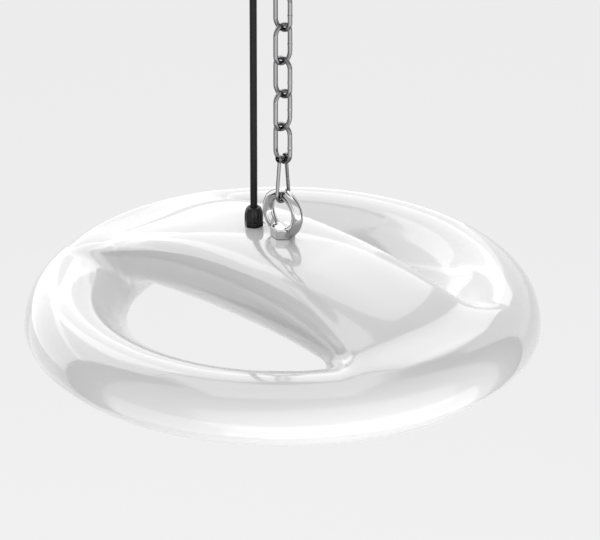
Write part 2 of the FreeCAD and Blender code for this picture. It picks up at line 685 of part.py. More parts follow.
def make_load_path():
    """Makes the tie rod with its tube, washer, nut and cap."""
    rod_foot = nut_level - size("rod_tail")
    rod = doc.addObject("Part::Cylinder", "rod")
    bind(rod, Radius="rod_radius")
    rod.Height = eye_base_level + size("rod_engagement") - rod_foot
    node(rod, "tie_rod", at(0, 0, rod_foot))
    tube = turned(
        "tube",
        ("tube_radius - tube_wall", "0"),
        ("tube_radius", "0"),
        ("tube_radius", "bridge_crown - crown_pad_thickness - bridge_floor - cover_rise - cover_thickness"),
        (
            "tube_radius - tube_wall",
            "bridge_crown - crown_pad_thickness - bridge_floor - cover_rise - cover_thickness",
        ),
    )
    node(tube, "compression_tube", at(0, 0, cover_top_level))
    washer = ring_of(
        "load_washer", "rod_radius + rod_slack", "rod_washer_radius", "rod_washer_thickness"
    )
    node(washer, "rod_washer", at(0, 0, washer_level))
    nut = cut(
        "rod_nut_cut",
        hexagon("rod_nut_hex", "rod_nut_flats", "rod_nut_height"),
        cylinder("rod_nut_bore", "rod_radius", "rod_nut_height"),
    )
    node(nut, "rod_nut", at(0, 0, nut_level))
    inside = "rod_nut_flats / 2 / cos(30 deg)"
    outside = inside + " + cap_wall"
    depth = "rod_nut_height + rod_tail + cap_room"
    cap = turned(
        "cap",
        (inside, "0"),
        (outside, "0"),
        (outside, depth),
        (inside, depth + " + cap_wall"),
        ("0", depth + " + cap_wall"),
        ("0", depth),
        (inside, depth),
    )
    node(cap, "nut_cap", at(0, 0, washer_level, UPSIDE_DOWN))


def make_cover():
    """Makes the base cover, its gasket and its screws."""
    hole_radius = "cover_screw_radius + cover_hole_slack"
    for label, piece, thickness, level in (
        ("base_cover", ring_of("cover", "rod_radius + rod_slack", "cover_radius", "cover_thickness"),
         "cover_thickness", cover_level),
        ("cover_gasket", ring_of("gasket", "access_radius", "cover_radius", "cover_gasket_thickness"),
         "cover_gasket_thickness", cover_top_level),
    ):
        holes = [
            cylinder("%s_hole_%d" % (label, i), hole_radius, thickness, place)
            for i, place in enumerate(
                on_circle(size("cover_screw_count"), size("cover_screw_circle"), 0)
            )
        ]
        node(cut(label + "_cut", piece, *holes), label, at(0, 0, level))
    screws = []
    for i, place in enumerate(on_circle(size("cover_screw_count"), size("cover_screw_circle"), 0)):
        below = place.multiply(at(0, 0, -size("cover_screw_head_height")))
        screws.append(joined(
            "screw_%d" % i,
            cylinder("screw_%d_shank" % i, "cover_screw_radius", "cover_screw_length", place),
            cylinder("screw_%d_head" % i, "cover_screw_head", "cover_screw_head_height", below),
        ))
    group = doc.addObject("Part::Compound", "screws")
    group.Links = screws
    node(group, "cover_screws", at(0, 0, cover_level))


def make_lamp():
    """Makes the terminal block that takes the cable and the lamp board with its chips."""
    half_width = size("block_width") / 2
    half_length = size("block_length") / 2
    block = box("block", "block_width", "block_length", "block_height", at(-half_width, -half_length, 0))
    wells = [
        cylinder(
            "block_well_%d" % i,
            "block_screw_radius",
            "block_height",
            at(0, side * (size("cable_radius") + size("block_screw_radius") + 1), size("block_height") / 2),
        )
        for i, side in enumerate((-1, 1))
    ]
    node(cut("block_cut", block, *wells), "terminal_block", at(-size("cable_offset"), 0, pad_level))
    board = ring_of("board", "board_inner", "board_outer", "board_thickness")
    node(board, "lamp_board", at(0, 0, cover_top_level))
    half_side = size("chip_side") / 2
    chips = [
        box("chip_%d" % i, "chip_side", "chip_side", "chip_height",
            place.multiply(at(-half_side, -half_side, 0)))
        for i, place in enumerate(on_circle(size("chip_count"), size("chip_circle"), 0))
    ]
    group = doc.addObject("Part::Compound", "chips")
    group.Links = chips
    node(group, "lamp_chips", at(0, 0, cover_top_level + size("board_thickness")))


# --- the whole part ----------------------------------------------------------------------------------

make_ceiling_plate()
make_clevis()
under_plate = at(-size("cable_offset"), 0, -size("plate_thickness"), UPSIDE_DOWN)
make_gland("ceiling", "ceiling_thread_length", under_plate)
make_cable()
for number, level in enumerate(link_levels):
    make_link(int(size("link_count")) - number, level, QUARTER_TURN if number % 2 == 0 else Rotation())
make_shackle()
make_eye_nut()
make_seat_shell()
make_gland("seat", "seat_thread_length", at(-size("cable_offset"), 0, gland_level))
make_locknut()
make_load_path()
make_cover()
make_lamp()
doc.recompute()

for obj in doc.Objects:
    if "Invalid" in obj.State or "Error" in obj.State:
        raise RuntimeError("%s failed: %s" % (obj.Name, obj.State))
for sub_part in NODES:
    if sub_part.Shape.isNull() or not sub_part.Shape.isValid():
        raise RuntimeError("%s has no valid shape" % sub_part.Label)

os.makedirs("parts", exist_ok=True)
for sub_part in NODES:
    sub_part.Shape.exportStep("parts/%s.step" % sub_part.Label)
    box_of = sub_part.Shape.BoundBox
    print("%-20s volume %10.0f  z %8.1f to %8.1f" % (
        sub_part.Label, sub_part.Shape.Volume, box_of.ZMin, box_of.ZMax
    ))
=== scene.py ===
"""Visual model of a hanging ring swing seat, built over its CAD frame."""
import json
import logging
import math
from dataclasses import dataclass
from enum import Enum
from itertools import product
from typing import Callable, Iterable, Optional, Sequence

import bmesh
import bpy
import numpy as np
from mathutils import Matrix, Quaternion, Vector


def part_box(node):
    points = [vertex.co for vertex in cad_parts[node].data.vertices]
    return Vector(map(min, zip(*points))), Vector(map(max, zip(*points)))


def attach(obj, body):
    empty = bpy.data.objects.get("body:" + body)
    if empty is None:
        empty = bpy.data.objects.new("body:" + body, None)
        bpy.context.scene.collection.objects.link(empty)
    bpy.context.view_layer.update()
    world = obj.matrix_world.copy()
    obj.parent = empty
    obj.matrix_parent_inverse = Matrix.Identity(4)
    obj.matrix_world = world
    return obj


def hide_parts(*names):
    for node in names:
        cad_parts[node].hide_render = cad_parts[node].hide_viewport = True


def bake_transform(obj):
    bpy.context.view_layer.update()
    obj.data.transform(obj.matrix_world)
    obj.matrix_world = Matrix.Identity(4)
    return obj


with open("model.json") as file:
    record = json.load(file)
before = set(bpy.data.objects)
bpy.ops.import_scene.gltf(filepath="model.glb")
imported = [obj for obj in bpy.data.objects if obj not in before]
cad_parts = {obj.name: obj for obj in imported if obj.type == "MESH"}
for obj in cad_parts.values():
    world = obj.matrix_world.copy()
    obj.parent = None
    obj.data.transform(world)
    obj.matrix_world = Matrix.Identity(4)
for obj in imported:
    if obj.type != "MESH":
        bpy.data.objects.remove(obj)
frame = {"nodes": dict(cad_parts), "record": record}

LOG = logging.getLogger("ring_seat")
MM = 0.001
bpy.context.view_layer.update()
LINKS = 6
COAT_ROUGHNESS = 0.02
LEAST_ROUGHNESS = 0.01
CARD_CORNERS = ((-1, -1), (1, -1), (1, 1), (-1, 1))

Field = Callable[[np.ndarray], np.ndarray]


class Lie(Enum):
    """The upright plane that a chain link lies in, as the direction across the link."""

    ALONG_X = (1, 0, 0)
    ALONG_Y = (0, 1, 0)


class Side(Enum):
    """The end of the cable that a gland is screwed into, as the body it rides on."""

    SEAT = "seat"
    CEILING = "ceiling"


class Edge(Enum):
    """Least angle between faces that shows as a sharp edge, in degrees, by kind of piece."""

    MOULDED = 30.0
    CAD = 32.0
    TURNED = 35.0
    FORGED = 50.0
    WIRE = 60.0


# --- materials ---


def set_inputs(node: bpy.types.Node, values: dict) -> None:
    """Sets inputs of a node from values by name or number."""
    for name, value in values.items():
        node.inputs[name].default_value = value


def add_node(
    tree: bpy.types.NodeTree, kind: str, values: Optional[dict] = None
) -> bpy.types.Node:
    """Adds a shader node to a tree.

    Args:
        tree: The node tree.
        kind: The node's type, without its prefix.
        values: Values of its inputs, by name or number.

    Returns:
        The new node.
    """
    node = tree.nodes.new(f"ShaderNode{kind}")
    set_inputs(node, values or {})
    return node


def link_nodes(tree: bpy.types.NodeTree, rows: Iterable[tuple]) -> None:
    """Links nodes of a tree: each row is a node, its output, another node and its input."""
    for giver, output, taker, entry in rows:
        tree.links.new(giver.outputs[output], taker.inputs[entry])


def grey(level: float) -> tuple[float, float, float, float]:
    """Gives the opaque grey of a linear level, where 1 is white."""
    return (level, level, level, 1.0)


def grain_group() -> bpy.types.NodeTree:
    """Makes the node group that every finish shares for its unevenness.

    Returns:
        A group that takes two scales and a relief, and gives a soft mask, a fine mask and a normal.
    """
    name = "Grain"
    if name in bpy.data.node_groups:
        return bpy.data.node_groups[name]
    tree = bpy.data.node_groups.new(name, "ShaderNodeTree")
    for way, kind, labels in (
        ("INPUT", "NodeSocketFloat", ("Broad Scale", "Fine Scale", "Bump", "Depth")),
        ("OUTPUT", "NodeSocketFloat", ("Broad", "Fine")),
        ("OUTPUT", "NodeSocketVector", ("Normal",)),
    ):
        for label in labels:
            tree.interface.new_socket(name=label, in_out=way, socket_type=kind)
    source, sink = tree.nodes.new("NodeGroupInput"), tree.nodes.new("NodeGroupOutput")
    place = add_node(tree, "TexCoord")
    broad = add_node(tree, "TexNoise", {"Detail": 3.0})
    fine = add_node(tree, "TexNoise", {"Detail": 2.0})
    bump = add_node(tree, "Bump")
    link_nodes(tree, (
        (place, "Object", broad, "Vector"),
        (place, "Object", fine, "Vector"),
        (source, "Broad Scale", broad, "Scale"),
        (source, "Fine Scale", fine, "Scale"),
        (source, "Bump", bump, "Strength"),
        (source, "Depth", bump, "Distance"),
        (fine, "Fac", bump, "Height"),
        (broad, "Fac", sink, "Broad"),
        (fine, "Fac", sink, "Fine"),
        (bump, "Normal", sink, "Normal"),
    ))
    return tree


@dataclass(frozen=True)
class Finish:
    """A surface finish: its colour, how it shines and how uneven it is.

    Attributes:
        name: Name of the material.
        color: Linear base colour.
        roughness: Mean roughness.
        metallic: 0 for plastics and rubber, 1 for metal.
        coat: Weight of a clear top layer.
        ior: Index of refraction.
        tone_shift: Share by which the broad grain changes the colour.
        roughness_shift: Amount by which the fine grain changes the roughness.
        broad_scale: Scale of the broad grain, in 1/m.
        fine_scale: Scale of the fine grain, in 1/m.
        bump: Strength of the fine relief.
        depth: Height of the fine relief, in metres.
    """

    name: str
    color: tuple[float, float, float]
    roughness: float = 0.3
    metallic: float = 0.0
    coat: float = 0.0
    ior: float = 1.5
    tone_shift: float = 0.04
    roughness_shift: float = 0.04
    broad_scale: float = 8.0
    fine_scale: float = 900.0
    bump: float = 0.05
    depth: float = 0.0001

    def build(self) -> bpy.types.Material:
        """Makes the material, or returns it if it is already there.

        Returns:
            The procedural material.
        """
        label = f"{self.name}_finish"
        if label in bpy.data.materials:
            return bpy.data.materials[label]
        material = bpy.data.materials.new(label)
        material.use_nodes = True
        tree = material.node_tree
        shader = tree.nodes["Principled BSDF"]
        set_inputs(shader, {
            "Metallic": self.metallic, "IOR": self.ior, "Coat Weight": self.coat,
            "Coat Roughness": COAT_ROUGHNESS,
        })
        grain = add_node(tree, "Group")
        grain.node_tree = grain_group()
        set_inputs(grain, {
            "Broad Scale": self.broad_scale, "Fine Scale": self.fine_scale,
            "Bump": self.bump, "Depth": self.depth,
        })
        tone = add_node(tree, "Mix")
        tone.data_type = "RGBA"
        low, high = 1.0 - self.tone_shift, 1.0 + self.tone_shift
        set_inputs(tone, {
            "A": (*(c * low for c in self.color), 1.0),
            "B": (*(min(c * high, 1.0) for c in self.color), 1.0),
        })
        spread = add_node(tree, "MapRange", {
            "To Min": max(self.roughness - self.roughness_shift, LEAST_ROUGHNESS),
            "To Max": self.roughness + self.roughness_shift,
        })
        link_nodes(tree, (
            (grain, "Broad", tone, "Factor"),
            (grain, "Fine", spread, "Value"),
            (tone, "Result", shader, "Base Color"),
            (spread, "Result", shader, "Roughness"),
            (grain, "Normal", shader, "Normal"),
        ))
        return material


WHITE_PLASTIC = Finish(
    "white_plastic", (0.80, 0.80, 0.80), 0.16, coat=1.0, tone_shift=0.008, roughness_shift=0.02,
    broad_scale=3.0, fine_scale=160.0, bump=0.01, depth=0.00002,
)
COVER_PLASTIC = Finish("cover_plastic", (0.72, 0.72, 0.72), 0.32, fine_scale=700.0, bump=0.12)
POLISHED_STEEL = Finish(
    "polished_steel", (0.46, 0.46, 0.465), 0.05, metallic=1.0, tone_shift=0.03,
    roughness_shift=0.03, broad_scale=40.0, fine_scale=350.0, bump=0.03,
)
CHAIN_STEEL = Finish(
    "chain_steel", (0.19, 0.19, 0.195), 0.08, metallic=1.0, tone_shift=0.06,
    broad_scale=60.0, fine_scale=350.0, bump=0.04,
)
ZINC_STEEL = Finish(
    "zinc_steel", (0.55, 0.56, 0.58), 0.32, metallic=1.0, tone_shift=0.08,
    roughness_shift=0.08, broad_scale=60.0, fine_scale=500.0, bump=0.08,
)
WHITE_COAT = Finish(
    "white_coat", (0.78, 0.78, 0.78), 0.38, fine_scale=450.0, bump=0.2, depth=0.0002
)
BLACK_NYLON = Finish(
    "black_nylon", (0.008, 0.008, 0.009), 0.34, ior=1.36, tone_shift=0.15, roughness_shift=0.08,
    broad_scale=80.0, bump=0.15,
)
CABLE_JACKET = Finish(
    "cable_jacket", (0.007, 0.007, 0.009), 0.42, ior=1.28, tone_shift=0.12, roughness_shift=0.06,
    broad_scale=30.0, fine_scale=700.0, bump=0.12,
)
BLACK_RUBBER = Finish("black_rubber", (0.02, 0.02, 0.02), 0.7, fine_scale=800.0, bump=0.2)
NATURAL_NYLON = Finish("nylon", (0.7, 0.69, 0.64), 0.35, fine_scale=600.0, bump=0.08)
BOARD_GREEN = Finish("board_green", (0.02, 0.16, 0.07), 0.3, broad_scale=200.0, tone_shift=0.2)
LAMP_YELLOW = Finish("lamp_yellow", (0.85, 0.72, 0.25), 0.25, fine_scale=1200.0)

FINISHES = {
    finish.name: finish
    for finish in (
        WHITE_PLASTIC, COVER_PLASTIC, POLISHED_STEEL, ZINC_STEEL, WHITE_COAT, BLACK_NYLON,
        CABLE_JACKET, BLACK_RUBBER, NATURAL_NYLON, BOARD_GREEN, LAMP_YELLOW,
    )
}


# --- mesh tools ---


def add_object(name: str, data: bpy.types.ID) -> bpy.types.Object:
    """Makes an object and links it to the scene.

    Args:
        name: Name of the object.
        data: Its mesh, lamp or camera.

    Returns:
        The new object.
    """
    obj = bpy.data.objects.new(name, data)
    bpy.context.collection.objects.link(obj)
    return obj


def new_object(
    name: str, vertices: np.ndarray, faces: Iterable[Sequence[int]], finish: Finish
) -> bpy.types.Object:
    """Makes a smooth-shaded mesh object.

    Args:
        name: Name of the object.
        vertices: Points in metres, one row each.
        faces: Vertex numbers of each face.
        finish: Finish of the surface.

    Returns:
        The new object, linked to the scene.
    """
    mesh = bpy.data.meshes.new(name)
    mesh.from_pydata([tuple(v) for v in np.asarray(vertices)], [], [tuple(f) for f in faces])
    mesh.validate()
    mesh.shade_smooth()
    mesh.materials.append(finish.build())
    return add_object(name, mesh)


def sharpen(obj: bpy.types.Object, kind: Edge) -> None:
    """Marks the edges of a mesh sharp where its faces meet at more than an angle.

    Args:
        obj: The mesh object.
        kind: The angle, by kind of piece.
    """
    work = bmesh.new()
    work.from_mesh(obj.data)
    limit = math.radians(kind.value)
    for edge in work.edges:
        edge.smooth = len(edge.link_faces) != 2 or edge.calc_face_angle(0.0) < limit
    work.to_mesh(obj.data)
    work.free()


def carve(obj: bpy.types.Object, cutters: Sequence[bpy.types.Object]) -> None:
    """Cuts other meshes out of a mesh, and removes them.

    Args:
        obj: The mesh that is cut.
        cutters: The closed meshes that are taken away from it.
    """
    for cutter in cutters:
        step = obj.modifiers.new(cutter.name, "BOOLEAN")
        step.object = cutter
        step.operation = "DIFFERENCE"
        step.solver = "EXACT"
    graph = bpy.context.evaluated_depsgraph_get()
    result = bpy.data.meshes.new_from_object(obj.evaluated_get(graph))
    obj.modifiers.clear()
    obj.data = result
    for cutter in cutters:
        bpy.data.objects.remove(cutter)


def smooth_step(share: np.ndarray) -> np.ndarray:
    """Eases shares from 0 to 1, and holds those outside that range."""
    held = np.clip(share, 0.0, 1.0)
    return held * held * (3.0 - 2.0 * held)


def smooth_min(first: np.ndarray, second: np.ndarray, blend: float) -> np.ndarray:
    """Joins two distance fields with a rounded junction of a given width."""
    share = np.clip(0.5 + 0.5 * (second - first) / blend, 0.0, 1.0)
    return second + (first - second) * share - blend * share * (1.0 - share)


def rounded_overlap(first: np.ndarray, second: np.ndarray, edge: float) -> np.ndarray:
    """Gives the distance to what two solids share, with a rounded edge where they cross.

    Args:
        first: Distances to one solid.
        second: Distances to the other.
        edge: Radius of the edge.

    Returns:
        Distances to the shared solid.
    """
    first, second = first + edge, second + edge
    outside = np.hypot(np.maximum(first, 0.0), np.maximum(second, 0.0))
    return outside + np.minimum(np.maximum(first, second), 0.0) - edge


@dataclass
class SurfaceNet:
    """Meshes the zero level of a distance field with even quads.

    Attributes:
        field: Signed distance at points given one per row.
        low: Lowest corner of the space that is searched.
        high: Highest corner of that space.
        cell: Side of a cell.
        rounds: Rounds of evening out the vertices.
        steps: Steps towards the surface in each round.
        probe: Distance over which the slope is taken, as a share of a cell.
    """

    field: Field
    low: tuple[float, float, float]
    high: tuple[float, float, float]
    cell: float
    rounds: int = 8
    steps: int = 3
    probe: float = 0.05

    def gradient(self, points: np.ndarray) -> np.ndarray:
        """Gives the field's slope at points.

        Args:
            points: Points, one per row.

        Returns:
            One gradient per row.
        """
        step = self.cell * self.probe
        rises = [self.field(points + move) - self.field(points - move) for move in np.eye(3) * step]
        return np.stack(rises, axis=1) / (2 * step)

    def settle(self, points: np.ndarray) -> np.ndarray:
        """Moves points onto the surface.

        Args:
            points: Points near the surface, one per row.

        Returns:
            The same points, on the surface.
        """
        tiny = 1e-9
        for _ in range(self.steps):
            slope = self.gradient(points)
            steepness = np.maximum((slope * slope).sum(axis=1), tiny)
            move = self.field(points) / steepness
            length = np.linalg.norm(slope, axis=1) * np.abs(move)
            capped = move * np.minimum(1.0, self.cell / np.maximum(length, tiny))
            points = points - slope * capped[:, None]
        return points

    def build(self) -> tuple[np.ndarray, np.ndarray]:
        """Makes the mesh.

        Returns:
            Vertices and quads.
        """
        axes = [np.arange(a, b + self.cell, self.cell) for a, b in zip(self.low, self.high)]
        shape = tuple(len(a) for a in axes)
        grid = np.stack(np.meshgrid(*axes, indexing="ij"), axis=-1).reshape(-1, 3)
        inside = (self.field(grid) < 0.0).reshape(shape)
        cells = np.zeros(tuple(n - 1 for n in shape), int)
        for corner in product((0, 1), repeat=3):
            cells += inside[tuple(slice(d, n - 1 + d) for d, n in zip(corner, shape))]
        mixed = (cells > 0) & (cells < 8)
        number = np.full(mixed.shape, -1)
        number[mixed] = np.arange(mixed.sum())
        points = np.array([a[0] for a in axes]) + (np.argwhere(mixed) + 0.5) * self.cell
        quads = np.concatenate([self.quads(inside, number, axis) for axis in range(3)])
        points = self.settle(points)
        for _ in range(self.rounds):
            points = self.settle(self.relax(points, quads))
        return points, quads

    @staticmethod
    def quads(inside: np.ndarray, number: np.ndarray, axis: int) -> np.ndarray:
        """Finds the quads across the grid edges that run along one axis.

        Args:
            inside: Which grid points lie in the solid.
            number: Vertex number of each cell, or -1.
            axis: The axis of the grid edges.

        Returns:
            One quad per row, facing outwards.
        """
        order = [axis, (axis + 1) % 3, (axis + 2) % 3]
        solid = inside.transpose(order)
        index = number.transpose(order)
        near = solid[:-1, 1:-1, 1:-1]
        far = solid[1:, 1:-1, 1:-1]
        around = [index[:, :-1, :-1], index[:, 1:, :-1], index[:, 1:, 1:], index[:, :-1, 1:]]
        found = []
        for crossing, turn in ((near & ~far, 1), (~near & far, -1)):
            quad = np.stack([a[crossing] for a in around], axis=1)
            found.append(quad[:, ::turn])
        return np.concatenate(found)

    @staticmethod
    def relax(points: np.ndarray, quads: np.ndarray) -> np.ndarray:
        """Moves each vertex halfway to the middle of its neighbours.

        Args:
            points: Vertices, one per row.
            quads: Quads, one per row.

        Returns:
            The moved vertices.
        """
        total = np.zeros_like(points)
        count = np.zeros(len(points))
        for a, b in ((0, 1), (1, 2), (2, 3), (3, 0)):
            np.add.at(total, quads[:, a], points[quads[:, b]])
            np.add.at(total, quads[:, b], points[quads[:, a]])
            np.add.at(count, quads[:, a], 1)
            np.add.at(count, quads[:, b], 1)
        return (points + total / count[:, None]) / 2


def ring_quads(rings: int, size: int, closed: bool) -> list[tuple[int, int, int, int]]:
    """Gives the quads that join each ring of vertices to the next.

    Args:
        rings: Number of rings.
        size: Number of vertices in a ring.
        closed: Whether the last ring joins the first.

    Returns:
        One quad per step, each from this ring to the next and back.
    """
    quads = []
    for ring in range(rings if closed else rings - 1):
        here, after = ring * size, (ring + 1) % rings * size
        for step in range(size):
            following = (step + 1) % size
            quads.append((here + step, after + step, after + following, here + following))
    return quads


@dataclass
class TurnedPiece:
    """A closed piece turned about +Z, whose radius may change round the turn.

    Attributes:
        name: Name of the object.
        profile: Corners of the closed section as (radius, height), in metres.
        finish: Finish of the surface.
        segments: Steps round the turn.
        shape: Gives the factor on the radius from the angle and the height.
    """

    name: str
    profile: Sequence[tuple[float, float]]
    finish: Finish
    segments: int
    shape: Optional[Callable[[float, float], float]] = None

    def build(self, origin: Vector, up: int = 1) -> bpy.types.Object:
        """Makes the piece.

        Args:
            origin: Where the profile's zero height lies.
            up: 1 if it stands upwards, -1 if it hangs down.

        Returns:
            The mesh object.
        """
        vertices = []
        for turn in range(self.segments):
            angle = math.tau * turn / self.segments
            for radius, height in self.profile:
                reach = radius * (self.shape(angle, height) if self.shape else 1.0)
                vertices.append((
                    origin.x + reach * math.cos(angle),
                    origin.y + up * reach * math.sin(angle),
                    origin.z + up * height,
                ))
        faces = ring_quads(self.segments, len(self.profile), True)
        obj = new_object(self.name, np.array(vertices), faces, self.finish)
        sharpen(obj, Edge.TURNED)
        return obj


def rounded(
    corners: Sequence[tuple[float, float]], radius: float, steps: int = 4
) -> list[tuple[float, float]]:
    """Rounds the corners of a closed section.

    Args:
        corners: Corners as (radius, height), in metres.
        radius: Length taken off each side of a corner.
        steps: Points along each rounding.

    Returns:
        The section with a short curve at each corner.
    """
    part = 2.2
    points = []
    for index, corner in enumerate(corners):
        here = Vector(corner)
        back = Vector(corners[index - 1]) - here
        ahead = Vector(corners[(index + 1) % len(corners)]) - here
        cut = min(radius, back.length / part, ahead.length / part)
        start = here + back.normalized() * cut
        end = here + ahead.normalized() * cut
        for step in range(steps + 1):
            share = step / steps
            point = start.lerp(here, share).lerp(here.lerp(end, share), share)
            points.append((point.x, point.y))
    return points


@dataclass
class Wire:
    """A round wire that follows a path of points.

    Attributes:
        name: Name of the object.
        path: Points in metres.
        radius: Gives the wire's radius from the share of the way along it.
        finish: Finish of the surface.
        closed: Whether the path joins up.
        sides: Steps round the wire.
    """

    name: str
    path: Sequence[Vector]
    radius: Callable[[float], float]
    finish: Finish
    closed: bool = False
    sides: int = 28

    def build(self) -> bpy.types.Object:
        """Makes the wire.

        Returns:
            The mesh object.
        """
        path, count = list(self.path), len(self.path)
        if self.closed:
            before, after = path[-1:] + path[:-1], path[1:] + path[:1]
            third = count // 3
            across = (path[third] - path[0]).cross(path[2 * third] - path[0]).normalized()
        else:
            before, after = path[:1] + path[:-1], path[1:] + path[-1:]
            across = (path[1] - path[0]).normalized().orthogonal().normalized()
        vertices = []
        for index, (point, back, ahead) in enumerate(zip(path, before, after)):
            along = (ahead - back).normalized()
            across = (across - along * across.dot(along)).normalized()
            over = along.cross(across)
            reach = self.radius(index / count)
            for side in range(self.sides):
                angle = math.tau * side / self.sides
                spoke = across * math.cos(angle) + over * math.sin(angle)
                vertices.append(point + spoke * reach)
        faces = [(a, d, c, b) for a, b, c, d in ring_quads(count, self.sides, self.closed)]
        if not self.closed:
            first, last = range(self.sides), range((count - 1) * self.sides, count * self.sides)
            faces += [tuple(first)[::-1], tuple(last)]
        obj = new_object(self.name, np.array(vertices), faces, self.finish)
        sharpen(obj, Edge.WIRE)
        return obj


def spline_points(controls: Sequence[tuple[float, float, float]]) -> list[Vector]:
    """Reads the points of a smooth line from a spline.

    Args:
        controls: Control points of the line.

    Returns:
        Points along the line, from its first to its last.
    """
    curve = bpy.data.curves.new("route", "CURVE")
    curve.dimensions = "3D"
    curve.resolution_u = 24
    spline = curve.splines.new("NURBS")
    spline.points.add(len(controls) - 1)
    for point, place in zip(spline.points, controls):
        point.co = (*place, 1.0)
    spline.order_u = 3
    spline.use_endpoint_u = True
    holder = bpy.data.objects.new("route", curve)
    line = bpy.data.meshes.new_from_object(holder)
    points = [vertex.co.copy() for vertex in line.vertices]
    bpy.data.objects.remove(holder)
    bpy.data.curves.remove(curve)
    bpy.data.meshes.remove(line)
    return points


# --- seat ---


